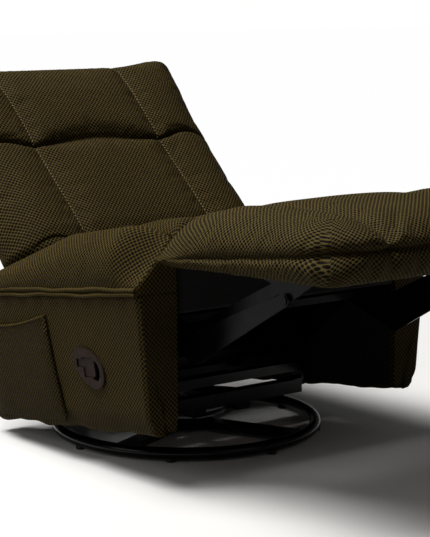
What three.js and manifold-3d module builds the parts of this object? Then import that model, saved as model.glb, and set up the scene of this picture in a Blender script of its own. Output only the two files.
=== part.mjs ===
// Swivel glider recliner, shown with its back laid down and its footrest out.
// Millimetres. +X is the sitter's left, +Y points behind the chair, +Z is up.
// The base is laid out from the swivel axis; the tilted body is laid out from
// the bottom front edge of its arms, with y to the rear and z square to the arms' bottom.
import * as THREE from 'three';
import Module from 'manifold-3d';
import { mergeVertices } from 'three/addons/utils/BufferGeometryUtils.js';

const wasm = await Module();
wasm.setup();

const deg = Math.PI / 180;
const clearance = 0.3;
const overrun = 6;
const sides = [-1, 1];
const sideName = { '-1': 'right', '1': 'left' };

// Stance of the body over the base
const armFrontAhead = 350;
const armBottomHeight = 111;
const bodyTilt = 7.5 * deg;

// Base ring, spokes and swivel
const ringRadius = 280;
const ringTubeRadius = 12.7;
const glideFootHeight = 4;
const glideFootRadius = 11;
const glideFootCount = 8;
const spokeWidth = 38;
const spokeHeight = 14;
const spokeYaw = 24 * deg;
const hubRadius = 62;
const hubHeight = 16;
const bearingRadius = 84;
const bearingPlateThickness = 3.5;
const ballRadius = 4;
const ballTrackRadius = 58;
const ballCount = 10;
const cageThickness = 1.5;
const cageWidth = 12;
const swivelBoltRadius = 9;
const swivelBoltHeadRadius = 17;
const swivelBoltHeadHeight = 9;
const swivelNutRadius = 13.5;
const swivelNutHeight = 7;

// Glider carriage that turns on the swivel
const beamSpacing = 118;
const beamWidth = 34;
const beamHeight = 14;
const lowerRailHeight = 29;
const lowerRailDepth = 26;
const lowerRailWall = 3;
const upperRailSize = 20;
const upperRailRise = 48;
const frontPivotAhead = 112;
const rearPivotBehind = 118;
const glideLinkLength = 110;
const glideLinkWidth = 24;
const linkThickness = 4;
const glidePivotHeight = 95;
const uprightWidth = 34;
const uprightFoot = 20;

// Layers of flat steel beside each other, by their distance from the middle,
// stacked inwards from the arms' inner faces
const armInnerHalf = 284;
const backBracketInset = 10.5;
const layerPitch = 6.5;
const hangerPitch = 9;
const backBracketLayer = armInnerHalf - backBracketInset;
const sidePlateLayer = backBracketLayer - layerPitch;
const lowerCrankLayer = sidePlateLayer - layerPitch;
const longLinkLayer = lowerCrankLayer - layerPitch;
const bracketLayer = longLinkLayer - layerPitch;
const guideLinkLayer = bracketLayer - layerPitch;
const hangerLayer = guideLinkLayer - hangerPitch;
const glideLinkLayer = hangerLayer - layerPitch;
const uprightLayer = glideLinkLayer - layerPitch;
const carriageHalfWidth = uprightLayer + linkThickness;
const pivotRadius = 5;
const rivetHeadRadius = 9;
const rivetHeadHeight = 1.6;

// Seat frame
const liningThickness = 2.7;
const seatRailSize = 24;
const frontSeatRail = { y: 320, z: 86 };
const rearSeatRail = { y: 536, z: 92 };
const sideRailHeight = 40;
const sideRailThickness = 18;
const sideRailBottom = 258;
const plateWindowLength = 70;
const plateWindowHeight = 52;
const plateWindowCount = 2;
const boxFront = -30;
const boxFrontThickness = 15;
const boxFrontBottom = 222;
const boxTop = 318;
const boxRear = 338;
const deckThickness = 5;

// Footrest linkage pivots, in the body's frame
const lowerCrankPivot = { y: 121.4, z: 211.7 };
const upperCrankPivot = { y: 115.6, z: 240.2 };
const lowerCrankEnd = { y: -44.2, z: 136.4 };
const upperCrankEnd = { y: -44.2, z: 174.7 };
const guidePivot = { y: -25.1, z: 183.3 };
const longLinkTip = { y: -313.1, z: 248.3 };
const guideLinkTip = { y: -295.3, z: 273.8 };
const crankWidth = 24;
const driveTubeSize = 16;
const upperCrankPlay = 1;
const guideLinkPlay = 2.8;

// Footrest board and pad, in a frame that starts at the pad's lower rear edge
const padRearGap = 3;
const padSeat = 322;
const padDroop = 5.6 * deg;
const padLength = 463;
const padSideLap = 34;
const padHalfWidth = armInnerHalf + padSideLap;
const padCrown = 112;
const padSeamRear = 8;
const padSeamFront = 53;
const padRearCut = 34;
const padBoxingRounding = 20;
const padRounding = 66;
const padFrontRounding = 53;
const padRearRounding = 40;
const padColumn = 176;
const padChannelDepth = 16;
const padChannelHalf = 17;
const padDrawIn = 5;
const boardSideInset = 22;
const boardHalfWidth = armInnerHalf - boardSideInset;
const boardThickness = 15;
const boardFrontMargin = 46;
const boardRearMargin = 60;
const bracketFlange = 30;
const bracketFlangeThickness = 3;
const bracketLength = 150;

// Arms
const armBottomThickness = 66;
const armFlare = 25;
const armSeamHeight = 266;
const armLength = 585;
const armEdgeRadius = 16;
const armEndRadius = 6;
const armCrown = 0.6;
const pillowOverhang = 9;
const pillowFrontRise = 136;
const pillowMidRise = 114;
const pillowRearRise = 30;
const pillowEdge = 46;
const pillowInnerEdge = 37;
const pillowFrontEdge = 23;
const pillowFacet = 30;
const pillowLengthFacet = 75;
const liningMargin = 12;
const liningBottom = 6;

// Pocket on the right arm
const pocketFront = 304;
const pocketRear = 540;
const pocketLean = 22;
const pocketBottom = 20;
const pocketTop = 226;
const pocketSag = 24;
const pocketBulge = 14;
const pocketMouthShare = 0.6;
const pocketCloth = 2.5;

// Release handle in the right arm
const handleBehindFront = 169;
const handleHeight = 124;
const handleHalfLength = 56;
const handleHalfWidth = 36;
const handleEggShare = 0.15;
const handleFacets = 44;
const handleRim = 4;
const handleRimBevel = 1.5;
const handleTilt = 30 * deg;
const housingLip = 6;
const housingDepth = 30;
const leverRear = 15;
const leverLength = 35;
const leverHalfHeight = 19;
const leverCornerRadius = 7;
const leverStemLength = 19;
const leverStemHalfHeight = 7.5;
const leverStemLift = 8;
const leverThickness = 5;
const leverSlotGap = 1;
const scoopAhead = 22;
const scoopDrop = 7;
const scoopHalfWidth = 17;
const scoopHalfHeight = 22;
const scoopDepth = 24;

// Seat cushion
const cushionSideGap = 4.5;
const seatCushionHalf = armInnerHalf - cushionSideGap;
const seatCushionFront = -36;
const seatCushionRear = 376;
const seatSeamLift = 22;
const seatFrontCrown = 82;
const seatRearCrown = 46;
const seatSideRounding = 46;
const seatFrontRounding = 40;
const seatRearRounding = 60;
const seatColumn = 166;
const seatChannelDepth = 12;
const seatChannelHalf = 15;
const cushionFacet = 62;

// Back
const backPivot = { y: 425, z: 300 };
const backRecline = 35.3 * deg;
const backBottom = -62;
const backTop = 574;
const backCornerRise = 14;
const backSideLap = 51;
const backHalfWidth = armInnerHalf + backSideLap;
const backShoulder = 75;
const backShoulderEase = 40;
const backFaceLow = 50;
const backFaceHigh = -8;
const backDepth = 72;
const backRearDepth = 104;
const backColumn = 170;
const backRows = [80, 338];
const backEdgeSeam = 46;
const backSideRounding = 92;
const backEndRounding = 50;
const columnDepth = 24;
const backRearRounding = 26;
const heelDepth = 40;
const heelReach = 110;
const tuftDepth = 40;
const tuftHalf = 20;
const backCoverInset = 14;
const backCoverRounding = 60;
const backCoverFacet = 150;
const postWidth = 30;
const postThickness = 22;
const postBottom = 44;
const backTopMargin = 30;
const backRailHeight = 40;
const backBracketReach = 176;

const olive = new THREE.Color(0x3a3220);
const oliveShade = new THREE.Color(0x2c2618);
const steelBlack = new THREE.Color(0x17171a);
const zinc = new THREE.Color(0x8d8f92);
const wood = new THREE.Color(0x9a7b55);
const plastic = new THREE.Color(0x2c2822);
const cambric = new THREE.Color(0x141210);

const finish = (color, roughness, metalness = 0) =>
  new THREE.MeshStandardMaterial({ color, roughness, metalness });
const fabric = finish(olive, 0.9);
const shadeFabric = finish(oliveShade, 0.92);
const steel = finish(steelBlack, 0.35, 0.6);
const plated = finish(zinc, 0.3, 0.9);
const timber = finish(wood, 0.75);
const moulding = finish(plastic, 0.45);
const lining = finish(cambric, 0.95);

// Closed indexed geometry from rows of points and faces, turned so that it faces out
function closedGeometry(points, faces) {
  const geometry = new THREE.BufferGeometry();
  geometry.setAttribute('position', new THREE.Float32BufferAttribute(points.flat(), 3));
  let volume = 0;
  for (const [a, b, c] of faces) {
    const [p, q, r] = [points[a], points[b], points[c]];
    volume += p[0] * (q[1] * r[2] - q[2] * r[1])
      + p[1] * (q[2] * r[0] - q[0] * r[2]) + p[2] * (q[0] * r[1] - q[1] * r[0]);
  }
  const index = volume > 0 ? faces : faces.map(([a, b, c]) => [a, c, b]);
  geometry.setIndex(index.flat());
  return geometry;
}

// Skin over rings of points that have the same count, with a fan on each end
function loft(rings) {
  const count = rings[0].length;
  const points = rings.flat();
  const faces = [];
  for (let i = 0; i + 1 < rings.length; i += 1) {
    for (let j = 0; j < count; j += 1) {
      const a = i * count + j;
      const b = i * count + (j + 1) % count;
      faces.push([a, b, b + count], [a, b + count, a + count]);
    }
  }
  for (const [ring, start] of [[rings[0], 0], [rings.at(-1), (rings.length - 1) * count]]) {
    const centre = [0, 1, 2].map((k) => ring.reduce((sum, p) => sum + p[k], 0) / count);
    const hub = points.push(centre) - 1;
    for (let j = 0; j < count; j += 1) {
      const a = start + j;
      const b = start + (j + 1) % count;
      faces.push(start === 0 ? [hub, b, a] : [hub, a, b]);
    }
  }
  return closedGeometry(points, faces);
}

// Two grids over the same stations, joined all round: a cushion where their borders
// coincide, a sheet with a thickness where they don't
function grids(us, vs, front, rear) {
  const points = [];
  const keys = new Map();
  const vertex = (p) => {
    const key = p.map((value) => Math.round(value * 1e4)).join();
    if (!keys.has(key)) keys.set(key, points.push(p) - 1);
    return keys.get(key);
  };
  const lay = (place) => us.map((u) => vs.map((v) => vertex(place(u, v))));
  const a = lay(front);
  const b = lay(rear);
  const faces = [];
  const quad = (p, q, r, s) => {
    if (p !== q && q !== r && p !== r) faces.push([p, q, r]);
    if (p !== r && r !== s && p !== s) faces.push([p, r, s]);
  };
  const lastU = us.length - 1;
  const lastV = vs.length - 1;
  for (let i = 0; i < lastU; i += 1) {
    for (let j = 0; j < lastV; j += 1) {
      quad(a[i][j], a[i + 1][j], a[i + 1][j + 1], a[i][j + 1]);
      quad(b[i][j], b[i][j + 1], b[i + 1][j + 1], b[i + 1][j]);
    }
    quad(a[i][0], b[i][0], b[i + 1][0], a[i + 1][0]);
    quad(a[i][lastV], a[i + 1][lastV], b[i + 1][lastV], b[i][lastV]);
  }
  for (let j = 0; j < lastV; j += 1) {
    quad(a[0][j], a[0][j + 1], b[0][j + 1], b[0][j]);
    quad(a[lastU][j], b[lastU][j], b[lastU][j + 1], a[lastU][j + 1]);
  }
  return closedGeometry(points, faces);
}

// Stations from one edge to the other: close together over each rounded edge and
// each sewn channel, and no further apart than the spacing between them
function stations(from, to, edge, channels, half, spacing) {
  const easeShares = [0, 0.07, 0.3, 0.65, 1];
  const stops = [...easeShares.map((s) => from + s * edge), ...easeShares.map((s) => to - s * edge)];
  for (const channel of channels) stops.push(channel - half, channel, channel + half);
  stops.sort((p, q) => p - q);
  const filled = [stops[0]];
  for (const stop of stops.slice(1)) {
    const last = filled.at(-1);
    const steps = Math.max(1, Math.ceil((stop - last) / spacing));
    for (let k = 1; k <= steps; k += 1) filled.push(last + (stop - last) * k / steps);
  }
  return filled;
}

// Share of the full height at a distance in from an edge that is rounded over a reach
const swell = (distance, reach) => {
  const t = 1 - Math.min(Math.max(distance, 0), reach) / reach;
  return Math.sqrt(Math.max(0, 1 - t * t));
};
const { smoothstep, lerp } = THREE.MathUtils;

// Share of the full depth of a sewn channel at a distance from its centre
const channelShare = (value, centre, half) => Math.max(0, 1 - Math.abs(value - centre) / half) ** 1.5;
const deepestShare = (value, centres, half) =>
  Math.max(...centres.map((centre) => channelShare(value, centre, half)));

function solid(geometry) {
  const bare = geometry.clone();
  bare.deleteAttribute('normal');
  bare.deleteAttribute('uv');
  const merged = mergeVertices(bare);
  return new wasm.Manifold(new wasm.Mesh({
    numProp: 3,
    vertProperties: new Float32Array(merged.attributes.position.array),
    triVerts: new Uint32Array(merged.index.array),
  }));
}

function geometryOf(manifold) {
  const { vertProperties, triVerts } = manifold.getMesh();
  const geometry = new THREE.BufferGeometry();
  geometry.setAttribute('position', new THREE.Float32BufferAttribute(vertProperties, 3));
  geometry.setIndex([...triVerts]);
  return geometry;
}
const cut = (body, ...tools) =>
  geometryOf(tools.reduce((rest, tool) => rest.subtract(solid(tool)), solid(body)));
const join = (...pieces) =>
  geometryOf(pieces.slice(1).reduce((sum, piece) => sum.add(solid(piece)), solid(pieces[0])));

function block(x0, x1, y0, y1, z0, z1) {
  const geometry = new THREE.BoxGeometry(x1 - x0, y1 - y0, z1 - z0);
  return geometry.translate((x0 + x1) / 2, (y0 + y1) / 2, (z0 + z1) / 2);
}

// Outline in the YZ plane, extruded along X between two distances from the middle
const acrossX = new THREE.Matrix4().makeBasis(
  new THREE.Vector3(0, 1, 0), new THREE.Vector3(0, 0, 1), new THREE.Vector3(1, 0, 0));
function plate(shape, side, from, thickness, curveSegments = 5) {
  const geometry = new THREE.ExtrudeGeometry(shape, {
    depth: thickness,
    bevelEnabled: false,
    curveSegments,
  });
  return geometry.applyMatrix4(acrossX).translate(side > 0 ? from : -from - thickness, 0, 0);
}
function disc(centre, radius, side, from, thickness, segments = 10) {
  const geometry = new THREE.CylinderGeometry(radius, radius, thickness, segments);
  geometry.rotateZ(Math.PI / 2);
  return geometry.translate(side * (from + thickness / 2), centre.y, centre.z);
}
function hole(shape, centre, radius) {
  shape.holes.push(new THREE.Path().absarc(centre.y, centre.z, radius, 0, 2 * Math.PI, true));
}

// Flat bar between two pivots with round ends and a clearance hole at each, wider
// by the play at the second
function linkShape(a, b, width, play = 0) {
  const along = Math.atan2(b.z - a.z, b.y - a.y);
  const shape = new THREE.Shape();
  shape.absarc(a.y, a.z, width / 2, along + Math.PI / 2, along + 1.5 * Math.PI, false);
  shape.absarc(b.y, b.z, width / 2, along - Math.PI / 2, along + Math.PI / 2, false);
  shape.closePath();
  hole(shape, a, pivotRadius + clearance);
  hole(shape, b, pivotRadius + clearance + play);
  return shape;
}

// Pivot pin fixed in one layer: it passes through the layer beyond and is headed there
function stud(centre, side, ownLayer, otherLayer, radius = pivotRadius) {
  const outward = otherLayer > ownLayer;
  const head = outward ? otherLayer + linkThickness + clearance : otherLayer - clearance - rivetHeadHeight;
  const from = outward ? ownLayer : head;
  const to = outward ? head + rivetHeadHeight : ownLayer + linkThickness;
  return [
    disc(centre, radius, side, from, to - from),
    disc(centre, rivetHeadRadius, side, head, rivetHeadHeight),
    disc(centre, rivetHeadRadius, side, ownLayer, linkThickness),
  ];
}

const chair = new THREE.Group();
const body = new THREE.Group();
body.position.set(0, -armFrontAhead, armBottomHeight);
body.rotation.x = -bodyTilt;
chair.add(body);
const footrest = new THREE.Group();
body.add(footrest);
const back = new THREE.Group();
back.position.set(0, backPivot.y, backPivot.z);
back.rotation.x = -backRecline;
body.add(back);

function add(parent, name, geometry, material) {
  const mesh = new THREE.Mesh(geometry, material);
  mesh.name = name;
  parent.add(mesh);
  return mesh;
}

// A point of the body's frame in the chair's frame
const fromBody = (p) => ({
  y: p.y * Math.cos(bodyTilt) + p.z * Math.sin(bodyTilt) - armFrontAhead,
  z: p.z * Math.cos(bodyTilt) - p.y * Math.sin(bodyTilt) + armBottomHeight,
});
// The plane that the arms' fronts lie in is upright while the body leans back
const frontPlane = (z) => -z * Math.tan(bodyTilt);

// Base: ring, its feet, the spokes and the swivel
const ringHeight = glideFootHeight + ringTubeRadius;
const spokeTop = ringHeight + spokeHeight / 2;
const hubTop = spokeTop + hubHeight;
const raceTop = hubTop + clearance + bearingPlateThickness;
const ballHeight = raceTop + clearance + ballRadius;
const turntableBottom = ballHeight + ballRadius + clearance;
const turntableTop = turntableBottom + bearingPlateThickness;

function ringPlate(radius, holeRadius, bottom, thickness, segments = 24) {
  const profile = [
    [holeRadius, 0], [radius, 0], [radius, thickness], [holeRadius, thickness], [holeRadius, 0],
  ].map(([r, z]) => new THREE.Vector2(r, z));
  return new THREE.LatheGeometry(profile, segments).rotateX(Math.PI / 2).translate(0, 0, bottom);
}

function buildBase() {
  const ring = new THREE.TorusGeometry(ringRadius, ringTubeRadius, 8, 48).translate(0, 0, ringHeight);
  const feet = [];
  for (let i = 0; i < glideFootCount; i += 1) {
    const angle = spokeYaw + (i + 0.5) * 2 * Math.PI / glideFootCount;
    const foot = new THREE.CylinderGeometry(glideFootRadius, glideFootRadius, ringTubeRadius, 10);
    foot.rotateX(Math.PI / 2);
    foot.translate(ringRadius * Math.sin(angle), -ringRadius * Math.cos(angle), ringTubeRadius / 2);
    feet.push(foot);
  }
  add(chair, 'base_ring', join(ring, ...feet), steel);

  const reach = Math.sqrt((ringRadius - ringTubeRadius - 2 * clearance) ** 2 - (spokeWidth / 2) ** 2);
  const bars = [0, 1].map((turn) => {
    const bar = new THREE.BoxGeometry(spokeWidth, 2 * reach, spokeHeight);
    return bar.rotateZ(spokeYaw + turn * Math.PI / 2).translate(0, 0, ringHeight);
  });
  const hubBlank = new THREE.CylinderGeometry(hubRadius, hubRadius, hubHeight + spokeHeight, 24);
  hubBlank.rotateX(Math.PI / 2).translate(0, 0, hubTop - (hubHeight + spokeHeight) / 2);
  const boltHole = swivelBoltRadius + clearance;
  const bore = new THREE.CylinderGeometry(boltHole, boltHole, hubTop * 2, 16).rotateX(Math.PI / 2);
  add(chair, 'base_cross', cut(join(bars[0], bars[1], hubBlank), bore), steel);

  const racePlate = ringPlate(bearingRadius, boltHole, hubTop + clearance, bearingPlateThickness);
  add(chair, 'swivel_race_lower', racePlate, plated);
  const turntable = ringPlate(bearingRadius, boltHole, turntableBottom, bearingPlateThickness);
  add(chair, 'swivel_race_upper', turntable, plated);
  const balls = [];
  for (let i = 0; i < ballCount; i += 1) {
    const angle = 2 * Math.PI * i / ballCount;
    const ball = new THREE.IcosahedronGeometry(ballRadius, 0);
    const [x, y] = [ballTrackRadius * Math.cos(angle), ballTrackRadius * Math.sin(angle)];
    balls.push(ball.translate(x, y, ballHeight));
  }
  const cage = ringPlate(ballTrackRadius + cageWidth / 2, ballTrackRadius - cageWidth / 2,
    ballHeight - cageThickness / 2, cageThickness);
  add(chair, 'bearing_ball_cage', join(cage, ...balls), plated);

  const headSeat = turntableTop + clearance;
  const headTop = headSeat + swivelBoltHeadHeight;
  const nutTop = ringHeight - spokeHeight / 2 - clearance;
  const nutBottom = nutTop - swivelNutHeight;
  const boltProfile = [
    [0, nutBottom], [swivelNutRadius, nutBottom], [swivelNutRadius, nutTop],
    [swivelBoltRadius, nutTop], [swivelBoltRadius, headSeat],
    [swivelBoltHeadRadius, headSeat], [swivelBoltHeadRadius, lerp(headSeat, headTop, 0.9)],
    [swivelNutRadius, headTop], [0, headTop],
  ].map(([r, z]) => new THREE.Vector2(r, z));
  add(chair, 'swivel_bolt', new THREE.LatheGeometry(boltProfile, 12).rotateX(Math.PI / 2), plated);
}

// Carriage: two beams on the turntable, cross rails and the uprights that hang the links
const beamTop = turntableTop + clearance + beamHeight;
const lowerRailTop = beamTop + clearance + lowerRailHeight;
const linkTop = glidePivotHeight + glideLinkLength;
const pivotLines = { front: -frontPivotAhead, rear: rearPivotBehind };

function channelRail(halfLength, y, bottom, height, depth, wall, opens) {
  const shape = new THREE.Shape();
  const web = y - opens * depth / 2;
  const lip = y + opens * depth / 2;
  const inner = web + opens * wall;
  shape.moveTo(web, bottom);
  shape.lineTo(lip, bottom);
  shape.lineTo(lip, bottom + wall);
  shape.lineTo(inner, bottom + wall);
  shape.lineTo(inner, bottom + height - wall);
  shape.lineTo(lip, bottom + height - wall);
  shape.lineTo(lip, bottom + height);
  shape.lineTo(web, bottom + height);
  shape.closePath();
  return plate(shape, 1, -halfLength, 2 * halfLength);
}

function buildCarriage() {
  for (const side of sides) {
    const middle = side * beamSpacing / 2;
    add(chair, `carriage_beam_${sideName[side]}`, block(middle - beamWidth / 2, middle + beamWidth / 2,
      pivotLines.front - lowerRailDepth / 2, pivotLines.rear + lowerRailDepth / 2,
      turntableTop + clearance, beamTop), steel);
  }
  for (const [end, y] of Object.entries(pivotLines)) {
    const opens = end === 'front' ? 1 : -1;
    const rail = channelRail(carriageHalfWidth, y, beamTop + clearance, lowerRailHeight,
      lowerRailDepth, lowerRailWall, opens);
    add(chair, `carriage_rail_${end}`, rail, steel);
    const half = uprightLayer - clearance;
    const bottom = lowerRailTop - lowerRailHeight + upperRailRise;
    add(chair, `carriage_tie_${end}`, block(-half, half, y - upperRailSize / 2, y + upperRailSize / 2,
      bottom, bottom + upperRailSize), steel);
    for (const side of sides) {
      const top = { y, z: linkTop };
      const foot = lowerRailTop + clearance;
      const shape = new THREE.Shape();
      shape.moveTo(y - uprightWidth / 2, foot);
      shape.lineTo(y + uprightWidth / 2, foot);
      shape.absarc(top.y, top.z, glideLinkWidth / 2, 0, Math.PI, false);
      shape.closePath();
      const web = plate(shape, side, uprightLayer, linkThickness);
      const sole = rectangle(y - uprightWidth / 2, y + uprightWidth / 2, foot, foot + lowerRailWall);
      const flange = plate(sole, side, uprightLayer - uprightFoot, uprightFoot + linkThickness / 2);
      add(chair, `carriage_upright_${end}_${sideName[side]}`,
        join(web, flange, ...stud(top, side, uprightLayer, glideLinkLayer)), steel);
    }
  }
}

function rectangle(y0, y1, z0, z1) {
  const shape = new THREE.Shape();
  shape.moveTo(y0, z0);
  shape.lineTo(y1, z0);
  shape.lineTo(y1, z1);
  shape.lineTo(y0, z1);
  shape.closePath();
  return shape;
}
// A box given with its corners in either order still faces out
function closedBox(geometry) {
  geometry.computeBoundingBox();
  const { min, max } = geometry.boundingBox;
  return block(min.x, max.x, min.y, max.y, min.z, max.z);
}

// Glide links hang from the uprights and carry the hangers of the seat frame
const seatRails = { front: fromBody(frontSeatRail), rear: fromBody(rearSeatRail) };

function buildGlide() {
  for (const [end, y] of Object.entries(pivotLines)) {
    const top = { y, z: linkTop };
    const bottom = { y, z: glidePivotHeight };
    for (const side of sides) {
      add(chair, `glide_link_${end}_${sideName[side]}`,
        plate(linkShape(top, bottom, glideLinkWidth), side, glideLinkLayer, linkThickness), steel);
    }
  }
}

// Seat frame: two side plates, the cross tubes between them, rails, front board and deck
function sidePlateShape() {
  const { y: railY, z: railZ } = frontSeatRail;
  const margin = seatRailSize;
  const shape = new THREE.Shape();
  const top = sideRailBottom - clearance;
  shape.moveTo(lowerCrankPivot.y - crankWidth, top);
  shape.lineTo(lowerCrankPivot.y - crankWidth, lowerCrankPivot.z);
  shape.absarc(lowerCrankPivot.y, lowerCrankPivot.z, crankWidth, Math.PI, 1.35 * Math.PI, false);
  shape.lineTo(railY - margin, railZ - margin);
  shape.lineTo(railY + margin, railZ - margin);
  shape.lineTo(rearSeatRail.y - margin, rearSeatRail.z - margin);
  shape.lineTo(rearSeatRail.y + margin, rearSeatRail.z - margin);
  shape.lineTo(rearSeatRail.y + margin, rearSeatRail.z + margin);
  shape.absarc(backPivot.y, backPivot.z, crankWidth, 0.15 * Math.PI, Math.PI, false);
  shape.lineTo(backPivot.y - crankWidth, top);
  shape.closePath();
  for (let i = 0; i < plateWindowCount; i += 1) {
    const middle = lerp(railY, rearSeatRail.y - 2 * margin, (i + 0.5) / plateWindowCount);
    shape.holes.push(roundedSlot(middle, lerp(railZ, top, 0.5), plateWindowLength, plateWindowHeight));
  }
  return shape;
}

// Stamped opening with round ends, about a point of the plate
function roundedSlot(y, z, length, height) {
  const path = new THREE.Path();
  const reach = (length - height) / 2;
  path.absarc(y + reach, z, height / 2, -Math.PI / 2, Math.PI / 2, false);
  path.absarc(y - reach, z, height / 2, Math.PI / 2, 1.5 * Math.PI, false);
  path.closePath();
  return path;
}

function buildSeatFrame() {
  for (const side of sides) {
    add(body, `side_plate_${sideName[side]}`, join(
      plate(sidePlateShape(), side, sidePlateLayer, linkThickness),
      ...stud(lowerCrankPivot, side, sidePlateLayer, lowerCrankLayer),
      ...stud(upperCrankPivot, side, sidePlateLayer, bracketLayer),
      ...stud(backPivot, side, sidePlateLayer, backBracketLayer),
    ), steel);
    const railOuter = side * (armInnerHalf - liningThickness - clearance);
    const railInner = railOuter - side * sideRailThickness;
    add(body, `seat_rail_${sideName[side]}`, closedBox(block(railInner, railOuter,
      boxFront + boxFrontThickness + clearance, boxRear,
      sideRailBottom, sideRailBottom + sideRailHeight)), timber);
  }
  for (const [end, rail] of Object.entries(seatRails)) {
    const half = sidePlateLayer - clearance;
    const size = seatRailSize / 2;
    const bar = block(-half, half, rail.y - size, rail.y + size, rail.z - size, rail.z + size);
    const bottom = { y: pivotLines[end], z: glidePivotHeight };
    const hangers = sides.flatMap((side) => [
      plate(linkShape(bottom, rail, glideLinkWidth), side, hangerLayer, linkThickness),
      ...stud(bottom, side, hangerLayer, glideLinkLayer),
    ]);
    add(chair, `seat_cross_tube_${end}`, join(bar, ...hangers), steel);
  }
  const half = seatCushionHalf;
  add(body, 'seat_front_board', block(-half, half, boxFront, boxFront + boxFrontThickness,
    boxFrontBottom, boxTop), timber);
  add(body, 'seat_rear_board', block(-half, half, boxRear + clearance, boxRear + boxFrontThickness,
    sideRailBottom, boxTop), timber);
  add(body, 'seat_deck', block(-half, half, boxFront + boxFrontThickness + clearance, boxRear,
    boxTop - deckThickness, boxTop), shadeFabric);
}

// Footrest linkage
function buildLinkage() {
  for (const side of sides) {
    const hand = sideName[side];
    add(body, `lower_crank_${hand}`, plate(linkShape(lowerCrankPivot, lowerCrankEnd, crankWidth), side,
      lowerCrankLayer, linkThickness), steel);
    const long = new THREE.Shape();
    const along = Math.atan2(longLinkTip.z - lowerCrankEnd.z, longLinkTip.y - lowerCrankEnd.y);
    const round = crankWidth / 2;
    long.absarc(lowerCrankEnd.y, lowerCrankEnd.z, round,
      along + Math.PI / 2, along + 1.25 * Math.PI, false);
    long.absarc(upperCrankEnd.y, upperCrankEnd.z, round, -0.1 * Math.PI, 0.4 * Math.PI, false);
    long.absarc(longLinkTip.y, longLinkTip.z, round, along - Math.PI / 2, along + Math.PI / 2, false);
    long.closePath();
    hole(long, longLinkTip, pivotRadius + clearance);
    add(body, `long_link_${hand}`, join(plate(long, side, longLinkLayer, linkThickness),
      ...stud(lowerCrankEnd, side, longLinkLayer, lowerCrankLayer),
      ...stud(upperCrankEnd, side, longLinkLayer, bracketLayer)), steel);
    const upper = linkShape(upperCrankPivot, upperCrankEnd, crankWidth, upperCrankPlay);
    add(body, `upper_crank_${hand}`, join(plate(upper, side, bracketLayer, linkThickness),
      ...stud(guidePivot, side, bracketLayer, guideLinkLayer)), steel);
    const guide = linkShape(guidePivot, guideLinkTip, crankWidth, guideLinkPlay);
    add(body, `guide_link_${hand}`, plate(guide, side, guideLinkLayer, linkThickness), steel);
  }
  const middle = {
    y: (upperCrankPivot.y + upperCrankEnd.y) / 2,
    z: (upperCrankPivot.z + upperCrankEnd.z) / 2,
  };
  const half = bracketLayer - clearance;
  const size = driveTubeSize / 2;
  const tube = block(-half, half, -size, size, -size, size);
  tube.rotateX(Math.atan2(upperCrankPivot.z - upperCrankEnd.z, upperCrankPivot.y - upperCrankEnd.y));
  add(body, 'drive_tube', tube.translate(0, middle.y, middle.z), steel);
}

// Footrest: brackets, board and padded cover
const padRear = { y: frontPlane(padSeat) - padRearGap, z: padSeat };
footrest.position.set(0, padRear.y, padRear.z);
footrest.rotation.x = padDroop;
const toFootrest = (p) => {
  const dy = p.y - padRear.y;
  const dz = p.z - padRear.z;
  return {
    y: dy * Math.cos(padDroop) + dz * Math.sin(padDroop),
    z: dz * Math.cos(padDroop) - dy * Math.sin(padDroop),
  };
};

function buildFootrest() {
  const tip = toFootrest(longLinkTip);
  const guide = toFootrest(guideLinkTip);
  const top = -clearance;
  for (const side of sides) {
    const shape = new THREE.Shape();
    const round = crankWidth / 2;
    shape.moveTo(tip.y - bracketLength / 2, top);
    shape.lineTo(tip.y - bracketLength / 2, top - round);
    shape.absarc(tip.y, tip.z, round, 1.05 * Math.PI, 1.85 * Math.PI, false);
    shape.lineTo(guide.y + round, guide.z);
    shape.lineTo(tip.y + bracketLength / 2, top - round);
    shape.lineTo(tip.y + bracketLength / 2, top);
    shape.closePath();
    const web = plate(shape, side, bracketLayer, linkThickness);
    const foot = rectangle(tip.y - bracketLength / 2, tip.y + bracketLength / 2,
      top - bracketFlangeThickness, top);
    const flange = plate(foot, side, bracketLayer - bracketFlange, bracketFlange + linkThickness / 2);
    add(footrest, `footrest_bracket_${sideName[side]}`, join(web, flange,
      ...stud(tip, side, bracketLayer, longLinkLayer),
      ...stud(guide, side, bracketLayer, guideLinkLayer)), steel);
  }
  add(footrest, 'footrest_board', block(-boardHalfWidth, boardHalfWidth,
    -padLength + boardFrontMargin, -boardRearMargin, 0, boardThickness), timber);

  const columns = [-padColumn, padColumn];
  const xs = stations(-padHalfWidth, padHalfWidth, padRounding, columns, padChannelHalf, cushionFacet);
  const ys = stations(-padLength, 0, padFrontRounding, [], 0, cushionFacet);
  const rounding = (x, y, side, front, rear) => swell(padHalfWidth - Math.abs(x), side)
    * swell(y + padLength, front) * swell(-y, rear);
  const seam = (y) => lerp(padSeamRear, padSeamFront, -y / padLength);
  const drawnIn = (x, y) => x * (1 - padDrawIn / padHalfWidth * Math.sin(Math.PI * -y / padLength));
  const upper = (x, y) => {
    const sewn = deepestShare(x, columns, padChannelHalf);
    const full = rounding(x, y, padRounding, padFrontRounding, padRearRounding);
    return [drawnIn(x, y), y, lerp(seam(y), padCrown - padChannelDepth * sewn, full)];
  };
  const under = (x, y) => {
    const full = rounding(x, y, padBoxingRounding, padBoxingRounding, padRearCut);
    return [drawnIn(x, y), y, lerp(seam(y), -2 * clearance, full)];
  };
  const pad = grids(xs, ys, upper, under);
  const bayFront = Math.min(boardFrontMargin - padLength, tip.y - bracketLength / 2) - clearance;
  const bay = block(-boardHalfWidth - clearance, boardHalfWidth + clearance,
    bayFront, -boardRearMargin + clearance, -overrun, boardThickness + clearance);
  add(footrest, 'footrest_pad', cut(pad, bay), fabric);
}

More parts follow.
